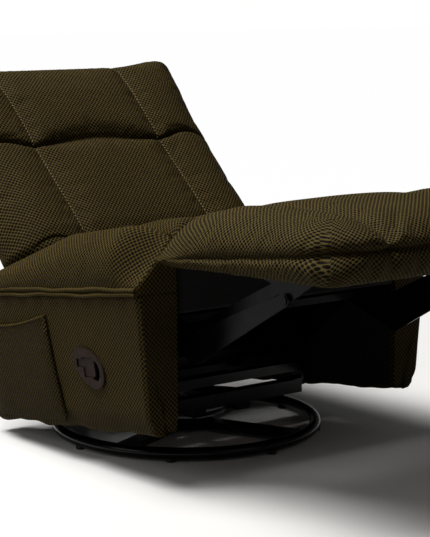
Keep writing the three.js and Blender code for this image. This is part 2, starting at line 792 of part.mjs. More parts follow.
// Arms
const flareShare = (z) => THREE.MathUtils.clamp(z / armSeamHeight, 0, 1);
const outerFlare = (z) => armInnerHalf + armBottomThickness + armFlare * flareShare(z);
const flareAngle = Math.atan2(armFlare, armSeamHeight);

// Section of an arm under its pillow, drawn in a little at either end of the arm
function armSection(y, side, inset) {
  const top = armSeamHeight - clearance;
  const r = armEdgeRadius;
  const small = armEdgeRadius / 3;
  const outline = [
    [armInnerHalf, small], [armInnerHalf + small, 0], [outerFlare(0) - r, 0],
    [outerFlare(small) - small, small], [outerFlare(r), r],
    [outerFlare(top / 2) + armCrown, top / 2], [outerFlare(top), top - armCrown],
    [outerFlare(top) - armCrown, top], [armInnerHalf + clearance, top], [armInnerHalf, top - armCrown],
  ];
  const middle = armInnerHalf + armBottomThickness / 2;
  const squeezeShare = 1 - inset / armBottomThickness;
  return outline.map(([x, z]) => [
    side * (x > middle ? middle + (x - middle) * squeezeShare : x),
    leanForward(y, z),
    z,
  ]);
}

// The arms' front edge is upright, and their rear edge is square to their bottom
const leanForward = (y, z) => y + (1 - y / armLength) * frontPlane(z);

function buildArms() {
  const stops = [0, armEndRadius, armLength / 3, armLength * 2 / 3, armLength - armEndRadius, armLength];
  const inner = armInnerHalf;
  const outer = outerFlare(armSeamHeight) + pillowOverhang;
  const xs = stations(inner, outer, pillowEdge, [], 0, pillowFacet);
  const ys = stations(0, armLength, pillowEdge, [], 0, pillowLengthFacet);
  const riseAt = (y) => {
    const front = lerp(pillowFrontRise, pillowMidRise, Math.min(1, 2 * y / armLength));
    return lerp(front, pillowRearRise, smoothstep(y, armLength / 2, armLength));
  };
  for (const side of sides) {
    const hand = sideName[side];
    const rings = stops.map((y) => armSection(y, side, y === 0 || y === armLength ? armEndRadius : 0));
    const shell = loft(rings);
    add(body, `arm_${hand}`, side < 0 ? cut(shell, handleGeometry.well) : shell, fabric);

    const domed = (x, y) => {
      const across = swell(x - inner, pillowInnerEdge) * swell(outer - x, pillowEdge);
      const along = swell(y, pillowFrontEdge) * swell(armLength - y, pillowEdge);
      const z = armSeamHeight + riseAt(y) * across * along;
      return [side * x, leanForward(y, z), z];
    };
    const flat = (x, y) => [side * x, leanForward(y, armSeamHeight), armSeamHeight];
    add(body, `arm_pillow_${hand}`, grids(xs, ys, domed, flat), fabric);

    const near = inner - clearance;
    const far = inner - liningThickness;
    add(body, `arm_lining_${hand}`, closedBox(block(side * near, side * far, liningMargin,
      armLength - liningMargin, liningBottom, armSeamHeight)), lining);
  }
}

// Frame on the right arm's flared outer face: x forward, y up the face, z outward
function outerFace(behindFront, height) {
  const group = new THREE.Group();
  const up = new THREE.Vector3(-Math.sin(flareAngle), 0, Math.cos(flareAngle));
  const out = new THREE.Vector3(-Math.cos(flareAngle), 0, -Math.sin(flareAngle));
  const matrix = new THREE.Matrix4().makeBasis(new THREE.Vector3(0, -1, 0), up, out);
  matrix.setPosition(-outerFlare(height), behindFront, height);
  matrix.decompose(group.position, group.quaternion, group.scale);
  group.updateMatrix();
  return group;
}

// Release handle: an egg-shaped moulding with a T-shaped paddle let into its face,
// and a scoop ahead of the paddle for the fingers that pull it out
const handle = outerFace(handleBehindFront, handleHeight);
const leverHinge = -leverRear - leverStemLength;

function eggBlock(inset, from, to) {
  const points = [];
  for (let i = 0; i < handleFacets; i += 1) {
    const angle = 2 * Math.PI * i / handleFacets;
    const fullness = 1 + handleEggShare * Math.cos(angle);
    const point = new THREE.Vector2((handleHalfLength - inset) * Math.cos(angle),
      (handleHalfWidth - inset) * Math.sin(angle) * fullness);
    points.push(point.rotateAround(new THREE.Vector2(), -handleTilt));
  }
  return moulded(new THREE.Shape(points), from, to);
}

function moulded(shape, from, to) {
  const depth = to - from;
  const geometry = new THREE.ExtrudeGeometry(shape, { depth, bevelEnabled: false, curveSegments: 6 });
  return geometry.translate(0, 0, from);
}

// The paddle's outline, or with a gap that of the slot it lies in
function leverShape(rear, gap) {
  const shoulder = -leverRear - gap;
  const front = leverLength - leverRear + gap;
  const high = leverHalfHeight + gap;
  const stemLow = leverStemLift - leverStemHalfHeight - gap;
  const stemHigh = leverStemLift + leverStemHalfHeight + gap;
  const shape = new THREE.Shape();
  shape.moveTo(rear, stemLow);
  shape.lineTo(shoulder, stemLow);
  shape.lineTo(shoulder, -high);
  shape.lineTo(front - leverCornerRadius, -high);
  shape.quadraticCurveTo(front, -high, front, leverCornerRadius - high);
  shape.lineTo(front, high - leverCornerRadius);
  shape.quadraticCurveTo(front, high, front - leverCornerRadius, high);
  shape.lineTo(shoulder, high);
  shape.lineTo(shoulder, stemHigh);
  shape.lineTo(rear, stemHigh);
  shape.closePath();
  return shape;
}

function makeHandle() {
  const seat = 3 * clearance;
  const bevelled = handleRimBevel / 2;
  const top = seat + handleRim;
  const knuckleRadius = leverThickness / 2;
  const rim = join(
    eggBlock(0, seat, top - handleRimBevel),
    eggBlock(bevelled, seat, top - bevelled),
    eggBlock(handleRimBevel, seat, top),
  );
  const plug = eggBlock(housingLip, -housingDepth, top - handleRimBevel);
  const slot = moulded(leverShape(leverHinge - knuckleRadius - leverSlotGap, leverSlotGap),
    -knuckleRadius - clearance, top + overrun);
  const oval = new THREE.Shape();
  oval.absellipse(scoopAhead, -scoopDrop, scoopHalfWidth, scoopHalfHeight, 0, 2 * Math.PI, false, 0);
  const scoop = moulded(oval, -scoopDepth, top + overrun);
  const paddle = moulded(leverShape(leverHinge, 0), -knuckleRadius, knuckleRadius);
  const knuckle = new THREE.CylinderGeometry(knuckleRadius, knuckleRadius, 2 * leverStemHalfHeight, 12);
  return {
    housing: cut(join(rim, plug), slot, scoop),
    lever: join(paddle, knuckle.translate(leverHinge, leverStemLift, 0)),
    well: eggBlock(housingLip - clearance, -housingDepth - clearance, overrun).applyMatrix4(handle.matrix),
  };
}
const handleGeometry = makeHandle();

function buildHandle() {
  add(handle, 'handle_housing', handleGeometry.housing, moulding);
  add(handle, 'release_lever', handleGeometry.lever, moulding);
  body.add(handle);
}

// Pocket: one sewn sheet that stands off the arm and is open along its sagging top
function buildPocket() {
  const face = outerFace(0, 0);
  const us = stations(0, 1, 0.16, [], 0, 0.24);
  const heightShares = [0, 0.05, 0.16, 0.4, 0.7, 1];
  const place = (u, v, lift) => {
    const top = pocketTop - pocketSag * Math.sin(Math.PI * Math.min(1, u * 1.1) / 1.6);
    const front = pocketLean * (1 - v) ** 1.4 - pocketFront;
    const belly = swell(v, 0.4) * lerp(1, pocketMouthShare, smoothstep(v, 0.5, 1));
    const puff = pocketBulge * belly * swell(u, 0.22) * swell(1 - u, 0.22);
    return [lerp(front, -pocketRear, u), lerp(pocketBottom, top, v), lift + puff];
  };
  const stand = 3 * clearance;
  const outside = (u, v) => place(u, v, pocketCloth + stand);
  const inside = (u, v) => place(u, v, stand);
  add(face, 'side_pocket', grids(us, heightShares, outside, inside), fabric);
  body.add(face);
}

function buildSeatCushion() {
  const half = seatCushionHalf;
  const channels = [-seatColumn, seatColumn];
  const xs = stations(-half, half, seatSideRounding, channels, seatChannelHalf, cushionFacet);
  const ys = stations(seatCushionFront, seatCushionRear, seatSideRounding, [], 0, cushionFacet);
  const bottom = boxTop + clearance;
  const rounding = (x, y) => swell(half - Math.abs(x), seatSideRounding)
    * swell(y - seatCushionFront, seatFrontRounding) * swell(seatCushionRear - y, seatRearRounding);
  const upper = (x, y) => {
    const crown = lerp(seatFrontCrown, seatRearCrown, smoothstep(y, 0, seatCushionRear));
    const dip = seatChannelDepth * deepestShare(x, channels, seatChannelHalf);
    return [x, y, bottom + seatSeamLift + (crown - seatSeamLift - dip) * rounding(x, y)];
  };
  const under = (x, y) => [x, y, bottom + seatSeamLift * (1 - rounding(x, y))];
  add(body, 'seat_cushion', grids(xs, ys, upper, under), fabric);
}

// Back, in a frame that starts at its pivots: y to the rear, z up the back
function backWidth(v) {
  const wideShare = smoothstep(v, backShoulder - backShoulderEase, backShoulder + backShoulderEase);
  return lerp(seatCushionHalf, backHalfWidth, wideShare);
}

// The top corners stand up above the middle of the top edge
function backHeight(u, v) {
  const corner = smoothstep(Math.abs(u), backColumn / backHalfWidth, 1);
  return v + backCornerRise * corner * smoothstep(v, backRows[1], backTop);
}

function buildBack() {
  const column = backColumn / backHalfWidth;
  const columns = [-column, column];
  const seamShare = tuftHalf / backHalfWidth;
  const roundedShare = backSideRounding / backHalfWidth;
  const us = stations(-1, 1, roundedShare, columns, seamShare, cushionFacet / backHalfWidth);
  const vs = stations(backBottom, backTop, backEndRounding, backRows, tuftHalf, cushionFacet);
  const rounding = (u, v, side, end) => swell((1 - Math.abs(u)) * backHalfWidth, side)
    * swell(v - backBottom, end) * swell(backTop - v, end);
  const forward = (u, v) => {
    const sewn = Math.max(columnDepth * deepestShare(u, columns, seamShare),
      tuftDepth * deepestShare(v, backRows, tuftHalf));
    const face = lerp(backFaceLow, backFaceHigh, Math.max(0, v) / backTop);
    const heel = heelDepth * (1 - smoothstep(v, 0, heelReach));
    const depth = (backEdgeSeam + face - heel - sewn) * rounding(u, v, backSideRounding, backEndRounding);
    return [u * backWidth(v), backEdgeSeam - depth, backHeight(u, v)];
  };
  const rearward = (u, v) => {
    const depth = (backDepth - backEdgeSeam) * rounding(u, v, backRearRounding, backRearRounding);
    return [u * backWidth(v), backEdgeSeam + depth, backHeight(u, v)];
  };
  const pad = grids(us, vs, forward, rearward);
  const postOuter = backBracketLayer - clearance;
  const bay = block(-postOuter - clearance, postOuter + clearance,
    backDepth - postThickness - 3 * clearance, backDepth + overrun,
    postBottom - 2 * clearance, backTop - backTopMargin + clearance);
  const slots = sides.flatMap((side) => {
    const bracket = side * (backBracketLayer - 2 * clearance);
    const beyondBracket = side * (backBracketLayer + linkThickness + 2 * clearance);
    const besidePlate = side * (sidePlateLayer - 2 * clearance);
    const open = side * (seatCushionHalf + overrun);
    const front = -crankWidth * 0.8;
    const beyond = backDepth + overrun;
    return [
      closedBox(block(besidePlate, open, -beyond, beyond, backBottom - overrun, crankWidth * 1.5)),
      closedBox(block(bracket, open, front, beyond, crankWidth, backShoulder - crankWidth)),
      closedBox(block(bracket, beyondBracket, front, beyond, crankWidth, backBracketReach + overrun)),
    ];
  });
  add(back, 'back_cushion', cut(pad, bay, ...slots), fabric);

  const bottom = backBottom + backCoverInset;
  const top = backTop - backCoverInset;
  const coverShare = backCoverRounding / backHalfWidth;
  const rearUs = stations(-1, 1, coverShare, [], 0, backCoverFacet / backHalfWidth);
  const rearVs = stations(bottom, top, backCoverRounding, [], 0, backCoverFacet);
  const coverSeat = backDepth + 2 * clearance;
  const flatRear = (u, v) => [u * (backWidth(v) - backCoverInset), coverSeat, backHeight(u, v)];
  const fullRear = (u, v) => {
    const fall = swell((1 - Math.abs(u)) * backHalfWidth, backCoverRounding)
      * swell(v - bottom, backCoverRounding) * swell(top - v, backCoverRounding);
    const depth = coverSeat + (backRearDepth - backDepth) * fall;
    return [u * (backWidth(v) - backCoverInset), depth, backHeight(u, v)];
  };
  add(back, 'back_cover_rear', grids(rearUs, rearVs, flatRear, fullRear), fabric);

  const front = backDepth - postThickness - clearance;
  const rearFace = backDepth - clearance;
  for (const side of sides) {
    const hand = sideName[side];
    const outerEdge = side * postOuter;
    add(back, `back_post_${hand}`, closedBox(block(outerEdge, outerEdge - side * postWidth, front, rearFace,
      postBottom, backTop - backTopMargin)), timber);
    const shape = new THREE.Shape();
    const round = crankWidth / 2;
    shape.absarc(0, 0, round, Math.PI, 1.75 * Math.PI, false);
    shape.lineTo(rearFace - 2 * clearance, round * 2);
    shape.lineTo(rearFace - 2 * clearance, backBracketReach);
    shape.lineTo(front, backBracketReach);
    shape.lineTo(front, round * 4);
    shape.closePath();
    hole(shape, { y: 0, z: 0 }, pivotRadius + clearance);
    add(back, `back_bracket_${hand}`, plate(shape, side, backBracketLayer, linkThickness), steel);
  }
  const half = postOuter - postWidth - clearance;
  const railPlaces = { bottom: postBottom, top: backTop - backTopMargin - backRailHeight };
  for (const [name, v] of Object.entries(railPlaces)) {
    add(back, `back_rail_${name}`, block(-half, half, front, rearFace, v, v + backRailHeight), timber);
  }
}

buildBase();
buildCarriage();
buildGlide();
buildSeatFrame();
buildLinkage();
buildFootrest();
buildArms();
buildHandle();
buildPocket();
buildSeatCushion();
buildBack();

// The origin lies on the floor under the middle of the chair's box
const part = new THREE.Group();
part.add(chair);
part.updateMatrixWorld(true);
const box = new THREE.Box3().setFromObject(chair, true);
chair.position.set(0, -(box.min.y + box.max.y) / 2, -box.min.z);

// Pivot points in the part's own frame, for anyone who poses the model
const spot = (p) => ({ y: p.y + chair.position.y, z: p.z + chair.position.z });
const bodySpot = (p) => spot(fromBody(p));

// The lever's hinge runs down the knuckle on its rear edge
function leverPivot() {
  part.updateMatrixWorld(true);
  const point = new THREE.Vector3(leverHinge, 0, 0).applyMatrix4(handle.matrixWorld);
  const axis = new THREE.Vector3(0, -1, 0).transformDirection(handle.matrixWorld);
  return { point: point.toArray(), axis: axis.toArray() };
}
part.userData.pivots = {
  swivel: spot({ y: 0, z: 0 }),
  glideFrontTop: spot({ y: pivotLines.front, z: linkTop }),
  glideFrontBottom: spot({ y: pivotLines.front, z: glidePivotHeight }),
  glideRearTop: spot({ y: pivotLines.rear, z: linkTop }),
  lowerCrank: bodySpot(lowerCrankPivot),
  upperCrank: bodySpot(upperCrankPivot),
  lowerCrankEnd: bodySpot(lowerCrankEnd),
  guideLink: bodySpot(guidePivot),
  longLinkTip: bodySpot(longLinkTip),
  back: bodySpot(backPivot),
  lever: leverPivot(),
};

export default part;
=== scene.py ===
from math import atan2, cos, exp, pi, radians, sin, tan

import bpy
import numpy as np
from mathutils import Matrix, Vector, noise
from mathutils.bvhtree import BVHTree


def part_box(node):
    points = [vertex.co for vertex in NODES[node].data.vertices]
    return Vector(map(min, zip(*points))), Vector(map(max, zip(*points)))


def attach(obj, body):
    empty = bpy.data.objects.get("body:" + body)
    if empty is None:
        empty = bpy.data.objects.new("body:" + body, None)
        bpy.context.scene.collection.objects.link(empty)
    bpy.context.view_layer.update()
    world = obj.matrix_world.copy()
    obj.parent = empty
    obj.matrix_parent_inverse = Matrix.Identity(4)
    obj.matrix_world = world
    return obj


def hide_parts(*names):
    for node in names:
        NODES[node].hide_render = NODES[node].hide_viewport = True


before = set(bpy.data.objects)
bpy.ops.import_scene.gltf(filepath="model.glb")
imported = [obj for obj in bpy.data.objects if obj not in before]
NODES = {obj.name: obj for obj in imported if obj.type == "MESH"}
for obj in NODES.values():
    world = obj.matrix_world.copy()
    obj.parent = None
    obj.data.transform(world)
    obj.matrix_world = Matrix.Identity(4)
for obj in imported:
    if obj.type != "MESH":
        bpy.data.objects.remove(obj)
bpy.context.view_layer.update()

# Lengths are in millimetres in the model's own frames, and in metres in Blender.
MM = 0.001

# The body's frame leans back on the base, and holds the back's frame and the footrest pad's.
# Each origin is a point (y, z) of the frame outside it.
BODY_TILT = radians(-7.5)
BACK_RECLINE = radians(-35.3)
PAD_DROOP = radians(5.6)
swivel_low, swivel_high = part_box("swivel_bolt")
SWIVEL_Y = (swivel_low[1] + swivel_high[1]) / 2 / MM
BODY_ORIGIN = (SWIVEL_Y - 350, 111)
BACK_ORIGIN = (425, 300)
PAD_ORIGIN = (-45.39, 322)


# -------- frames and curves

def xyz(x, y, z):
    return np.stack(np.broadcast_arrays(x, y, z), -1)


def grid_of(a, b):
    return np.meshgrid(a, b, indexing="ij")


def turned(points, angle, origin):
    """Points turned about X and moved to an origin in the YZ plane."""
    x, y, z = np.moveaxis(np.asarray(points, float), -1, 0)
    c, s = cos(angle), sin(angle)
    return xyz(x, y * c - z * s + origin[0], y * s + z * c + origin[1])


def in_body(points):
    return turned(points, BODY_TILT, BODY_ORIGIN)


def in_back(points):
    return in_body(turned(points, BACK_RECLINE, BACK_ORIGIN))


def in_foot(points):
    return in_body(turned(points, PAD_DROOP, PAD_ORIGIN))


def lerp(a, b, t):
    return a + (b - a) * t


def ease(value, low, high):
    t = np.clip((np.asarray(value, float) - low) / (high - low), 0, 1)
    return t * t * (3 - 2 * t)


def swell(distance, reach, power=2.0):
    """Share of the full height at a distance in from an edge rounded over a reach."""
    t = 1 - np.clip(np.asarray(distance, float), 0, reach) / reach
    return np.clip(1 - t ** power, 0, 1) ** (1 / power)


def groove(value, centre, half):
    """Share of the full depth of a sewn channel, sharp at its centre."""
    return np.clip(1 - np.abs(np.asarray(value, float) - centre) / half, 0, 1) ** 2


def channels(x, column, half):
    """Share of the depth of two sewn channels, as far left as right of the middle."""
    return np.maximum(groove(x, -column, half), groove(x, column, half))


def bumps(a, b, seed):
    """Smooth noise, from about -1 to 1, at pairs of places."""
    return np.vectorize(lambda p, q: noise.noise(Vector((p, q, seed))))(a, b)


def full_turn(count):
    return np.linspace(0, 2 * pi, count, endpoint=False)


def cosine_spread(low, high, count, share=0.75):
    """Stations that lie closer together towards both ends."""
    even = np.linspace(-1, 1, count)
    t = lerp(even, np.sin(even * pi / 2), share)
    return lerp(low, high, (t + 1) / 2)


def closed_curve(points, count):
    """Smooth closed outline through control points, by Catmull and Rom's formula."""
    p = np.asarray(points, float)
    n = len(p)
    out = []
    for s in np.linspace(0, n, count, endpoint=False):
        i = int(s)
        t = s - i
        a, b, c, d = (p[(i + k - 1) % n] for k in range(4))
        out.append(0.5 * (2 * b + (c - a) * t + (2 * a - 5 * b + 4 * c - d) * t * t
                          + (3 * b - a - 3 * c + d) * t ** 3))
    return np.array(out)


# -------- the weave's coordinates

def cloth_map(grid):
    """Distances over the surface along both ways of a grid of points, from its middle lines."""
    runs = []
    for axis in (0, 1):
        steps = np.linalg.norm(np.diff(grid, axis=axis), axis=-1)
        run = np.concatenate([np.zeros_like(steps.take([0], axis)), np.cumsum(steps, axis)], axis)
        runs.append(run - run.take([grid.shape[axis] // 2], axis))
    return np.stack(runs, -1)


def corner_map(front, rear, x, y, side_in, end_in, reach=95, mitre_rate=14):
    """Weave for a cushion's two panels: flat in plan, drawn out over its rounded sides."""
    mid = (front.shape[0] // 2, front.shape[1] // 2)
    middle_lines = ((slice(None), slice(mid[1], mid[1] + 1)),
                    (slice(mid[0], mid[0] + 1), slice(None)))
    plan = (x - x[mid], y - y[mid])
    near = [np.clip(1 - inward / reach, 1e-4, 1) for inward in (side_in, end_in)]
    at_corner = (near[0] > 1e-3) & (near[1] > 1e-3)
    front_runs, rear_runs = cloth_map(front), cloth_map(rear)
    over, under = [], []
    for axis, flat in enumerate(plan):
        sign = np.sign(flat)
        share = near[axis] / np.hypot(*near)
        extra = (front_runs[..., axis] - flat)[middle_lines[axis]]
        run = rear_runs[..., axis][middle_lines[axis]]
        border, ends = extra.ravel()[[0, -1]], run.ravel()[[0, -1]]
        edge = np.where(sign < 0, ends[0], ends[1])
        rim = np.where(sign < 0, flat.min() + border[0], flat.max() + border[1])
        over.append(flat + extra * np.where(at_corner, share, 1))
        mitre = np.clip((near[axis] - near[1 - axis]) * mitre_rate + 0.5, 0, 1)
        under.append(lerp(flat, rim + sign * np.abs(edge - run), mitre))
    return np.stack(over, -1), np.stack(under, -1)


def round_corner(x, y, side_in, end_in, radius):
    """Plan of a panel with the corners at its front end rounded."""
    px, py = np.clip(radius - side_in, 0, None), np.clip(radius - end_in, 0, None)
    share = np.maximum(px, py) / np.maximum(np.hypot(px, py), 1e-6)
    return x - np.sign(x) * px * (1 - share), y + py * (1 - share)


# The knit turns a corner about a centre this far in from both edges. A radian of the turn
# takes up an arc of cloth, and the turned rows start at a distance from that centre. The
# shift along the cloth brings a row of holes to the rim.
TURN_RADIUS, TURN_ARC, TURN_START = 106.5, 107.7, 52
ROW_SHIFT = (0, -5.4)


def turned_weave(x, y, side_in, end_in, across, ahead, half, square=0.0):
    """Three sets of cloth coordinates for a panel that turns two corners: flat, side and front.

    The knit's rows are square to each other, so the side's and the front's rows meet at the
    corner's middle. Also gives the set that each face of the grid takes.
    """
    out = np.sign(x)
    px, py = TURN_RADIUS - side_in, TURN_RADIUS - end_in
    r = np.maximum(px, py)
    phi = np.arctan2(np.maximum(py, 0), np.maximum(px, 1e-6))
    corner = ((px > 0) & (py > 0))[..., None]
    inner = half - TURN_RADIUS
    reach = r + lerp(across(TURN_RADIUS - r), ahead(TURN_RADIUS - r), phi * 2 / pi)
    end = y - end_in + TURN_RADIUS
    sharp = pi / 4 * np.minimum(px, py) / np.maximum(r, 1e-6)
    by_side, by_end = lerp(phi, sharp, square), lerp(pi / 2 - phi, sharp, square)
    flat = np.stack([x + out * across(side_in), y - ahead(end_in)], -1)
    side = np.stack([out * (inner + reach), end - TURN_ARC * by_side], -1)
    front = np.stack([out * (inner + TURN_ARC * by_end), end - reach], -1)
    fields = [np.where(corner, field, flat) + np.array(ROW_SHIFT) for field in (flat, side, front)]

    def mean(grid):
        return (grid[:-1, :-1] + grid[1:, :-1] + grid[1:, 1:] + grid[:-1, 1:]) / 4

    mx, my = mean(px), mean(py)
    turning = (mx > 0) & (my > 0) & (np.maximum(mx, my) > TURN_START)
    return fields, np.where(turning, np.where(mx > my, 1, 2), 0)


# -------- meshes

def finish_mesh(name, points, faces, weave, material, smooth=True, choice=None):
    """A mesh object from millimetre points, with the cloth's own coordinates as its UV map.

    Cloth that turns a corner brings several sets of coordinates, and each face's choice.
    """
    mesh = bpy.data.meshes.new(name)
    mesh.from_pydata([tuple(p * MM) for p in points], [], faces)
    mesh.validate()
    if weave is not None:
        layer = mesh.uv_layers.new(name="weave")
        loop_vertex = np.empty(len(mesh.loops), int)
        mesh.loops.foreach_get("vertex_index", loop_vertex)
        fields = np.asarray(weave)
        if choice is None:
            spread = fields[loop_vertex]
        else:
            spread = fields[np.repeat(choice, [len(face) for face in faces]), loop_vertex]
        layer.data.foreach_set("uv", (spread * MM).ravel())
    mesh.materials.append(material)
    if smooth:
        mesh.shade_smooth()
    made = bpy.data.objects.new(name, mesh)
    bpy.context.scene.collection.objects.link(made)
    return made


def outward(points, faces):
    """The faces of a closed skin, turned over if they look inwards."""
    volume = 0.0
    for face in faces:
        first = points[face[0]]
        for i in range(1, len(face) - 1):
            volume += np.dot(first, np.cross(points[face[i]], points[face[i + 1]]))
    return [face[::-1] for face in faces] if volume < 0 else faces


def pillow_mesh(name, front, rear, material, weaves=None, choice=None):
    """Two grids that share their border, as one closed cushion."""
    nu, nv = front.shape[:2]
    points = list(front.reshape(-1, 3))
    index = {(i, j): i * nv + j for i in range(nu) for j in range(nv)}
    behind = dict(index)
    for i in range(1, nu - 1):
        for j in range(1, nv - 1):
            behind[i, j] = len(points)
            points.append(rear[i, j])
    faces = []
    for i in range(nu - 1):
        for j in range(nv - 1):
            ring = [(i, j), (i + 1, j), (i + 1, j + 1), (i, j + 1)]
            faces.append([index[k] for k in ring])
            faces.append([behind[k] for k in reversed(ring)])

    def both(over, under):
        return np.concatenate([over.reshape(-1, 2), under[1:-1, 1:-1].reshape(-1, 2)])

    weaves = weaves or (cloth_map(front), cloth_map(front))
    if choice is None:
        coords = both(*weaves)
    else:
        coords = [both(*pair) for pair in zip(*weaves)]
        choice = np.repeat(choice.ravel(), 2)
    points = np.array(points)
    return finish_mesh(name, points, outward(points, faces), coords, material, choice=choice)


def loft_mesh(name, rings, material, loop=False):
    """Skin over rings (stations, ring points, 3), which close on themselves as a torus does,
    or have flat ends drawn in to their middle."""
    rings = np.asarray(rings, float)
    if not loop:
        first, last = ([lerp(ring, ring.mean(axis=0), share) for share in (0.05, 0.35, 0.7, 0.97)]
                       for ring in (rings[0], rings[-1]))
        rings = np.concatenate([first[::-1], rings, last])
    ns, nr = rings.shape[:2]
    faces = []
    for i in range(ns if loop else ns - 1):
        here, there = i * nr, (i + 1) % ns * nr
        for j in range(nr):
            k = (j + 1) % nr
            faces.append([here + j, here + k, there + k, there + j])
    coords = None
    if not loop:
        faces += [list(range(nr))[::-1], [(ns - 1) * nr + j for j in range(nr)]]
        wide = np.concatenate([rings, rings[:, :1]], axis=1)
        coords = cloth_map(wide)[:, :-1].reshape(-1, 2)
    points = rings.reshape(-1, 3)
    return finish_mesh(name, points, outward(points, faces), coords, material)


def map_ends(piece, facing=0.82):
    """Lays the weave of the faces that look forwards or rearwards straight across them."""
    mesh = piece.data
    layer = mesh.uv_layers["weave"].data
    for face in mesh.polygons:
        if abs(face.normal.y) > facing:
            for loop in face.loop_indices:
                spot = mesh.vertices[mesh.loops[loop].vertex_index].co
                layer[loop].uv = (spot.x, spot.z)
    return piece


def tube_mesh(name, path, radius, material, sides=10, loop=False):
    """Round tube along a path of points."""
    path = np.asarray(path, float)
    if loop:
        tangents = np.roll(path, -1, 0) - np.roll(path, 1, 0)
    else:
        tangents = np.gradient(path, axis=0)
    tangents /= np.linalg.norm(tangents, axis=1)[:, None]
    no_path_runs_here = (0.31, 0.2, 0.93)
    normal = np.cross(tangents[0], no_path_runs_here)
    angles = full_turn(sides)[:, None]
    rings = []
    for centre, tangent in zip(path, tangents):
        normal = normal - tangent * normal.dot(tangent)
        normal /= np.linalg.norm(normal)
        side = np.cross(tangent, normal)
        rings.append(centre + radius * (np.cos(angles) * normal + np.sin(angles) * side))
    return loft_mesh(name, rings, material, loop)


def joined(name, pieces):
    """Several mesh objects as one."""
    bpy.ops.object.select_all(action="DESELECT")
    for piece in pieces:
        piece.select_set(True)
    bpy.context.view_layer.objects.active = pieces[0]
    bpy.ops.object.join()
    pieces[0].name = name
    return pieces[0]


def rounder(piece):
    """One level of subdivision, in the view and in the render."""
    modifier = piece.modifiers.new("rounder", "SUBSURF")
    modifier.levels = modifier.render_levels = 1


def dress(piece, body, slot, *nodes):
    """Rides on its body and stands for the CAD nodes named, which it hides. The slot is not used.
    """
    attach(piece, body)
    if nodes:
        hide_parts(*nodes)


# -------- cushions as cloth

# shrink_min below zero cuts the cloth larger than its shape, by that share
CLOTH = dict(quality=5, mass=0.3, tension_stiffness=12, compression_stiffness=12,
             shear_stiffness=6, bending_stiffness=0.6, tension_damping=12,
             compression_damping=12, air_damping=3, vertex_group_mass="hold", pin_stiffness=1,
             shrink_min=-0.012, use_pressure=True, uniform_pressure_force=4.0)
CLOTH_FRAMES = 20
soft_jobs = []


def stuff(piece, front_held, rear_held, cap):
    """Notes a cushion for the simulation: where it is sewn or rests, and how far it may swell."""
    held = np.concatenate([front_held.ravel(), rear_held[1:-1, 1:-1].ravel()])
    soft_jobs.append((piece, held, cap * MM))


def simulate():
    """Blows up every noted cushion as cloth under pressure, with its swelling capped."""
    scene = bpy.context.scene
    scene.frame_start, scene.frame_end = 1, CLOTH_FRAMES
    for piece, held, cap in soft_jobs:
        group = piece.vertex_groups.new(name="hold")
        group.add(np.nonzero(held)[0].tolist(), 1.0, "REPLACE")
        cloth = piece.modifiers.new("cloth", "CLOTH")
        for key, value in CLOTH.items():
            setattr(cloth.settings, key, value)
        cloth.settings.effector_weights.gravity = 0
        cloth.collision_settings.use_collision = False
        cloth.collision_settings.use_self_collision = False
        cloth.point_cache.frame_start, cloth.point_cache.frame_end = 1, CLOTH_FRAMES
    for step in range(1, CLOTH_FRAMES + 1):
        scene.frame_set(step)
    graph = bpy.context.evaluated_depsgraph_get()
    for piece, held, cap in soft_jobs:
        count = len(piece.data.vertices)
        rest, blown = np.empty(count * 3), np.empty(count * 3)
        piece.data.vertices.foreach_get("co", rest)
        piece.evaluated_get(graph).data.vertices.foreach_get("co", blown)
        move = (blown - rest).reshape(-1, 3)
        far = np.linalg.norm(move, axis=1)[:, None]
        move *= cap * np.tanh(far / cap) / np.maximum(far, 1e-9)
        piece.modifiers.remove(piece.modifiers["cloth"])
        piece.vertex_groups.clear()
        piece.data.vertices.foreach_set("co", rest + move.ravel())
        piece.data.update()
    scene.frame_set(1)


def stitch_line(place, points, ahead):
    """A line of stitches and the way that the needle looks, placed from a piece's own frame."""
    heading = place(np.array([ahead, (0.0, 0.0, 0.0)]))
    return place(np.array(points)), Vector(heading[0] - heading[1])


def stitches(piece, lines, pitch=9.0, length=5.4, radius=0.9):
    """Short threads laid along lines of points, on the cushion's own surface."""
    before, reach, proud = 0.06, 0.12, 0.0005
    surface = BVHTree.FromObject(piece, bpy.context.evaluated_depsgraph_get())
    dashes = []
    for line, ahead in lines:
        run = np.concatenate([[0], np.cumsum(np.linalg.norm(np.diff(line, axis=0), axis=1))])
        for start in np.arange(pitch, run[-1] - pitch, pitch):
            spots = []
            for at in np.linspace(start, start + length, 4):
                spot = Vector([float(np.interp(at, run, line[:, k])) for k in range(3)]) * MM
                hit = surface.ray_cast(spot - ahead * before, ahead, reach)[0]
                if hit:
                    spots.append(np.array(hit - ahead * proud) / MM)
            if len(spots) == 4:
                dashes.append(tube_mesh("stitch", spots, radius, thread_material, sides=6))
    return joined(f"{piece.name}_stitches", dashes)


# -------- materials

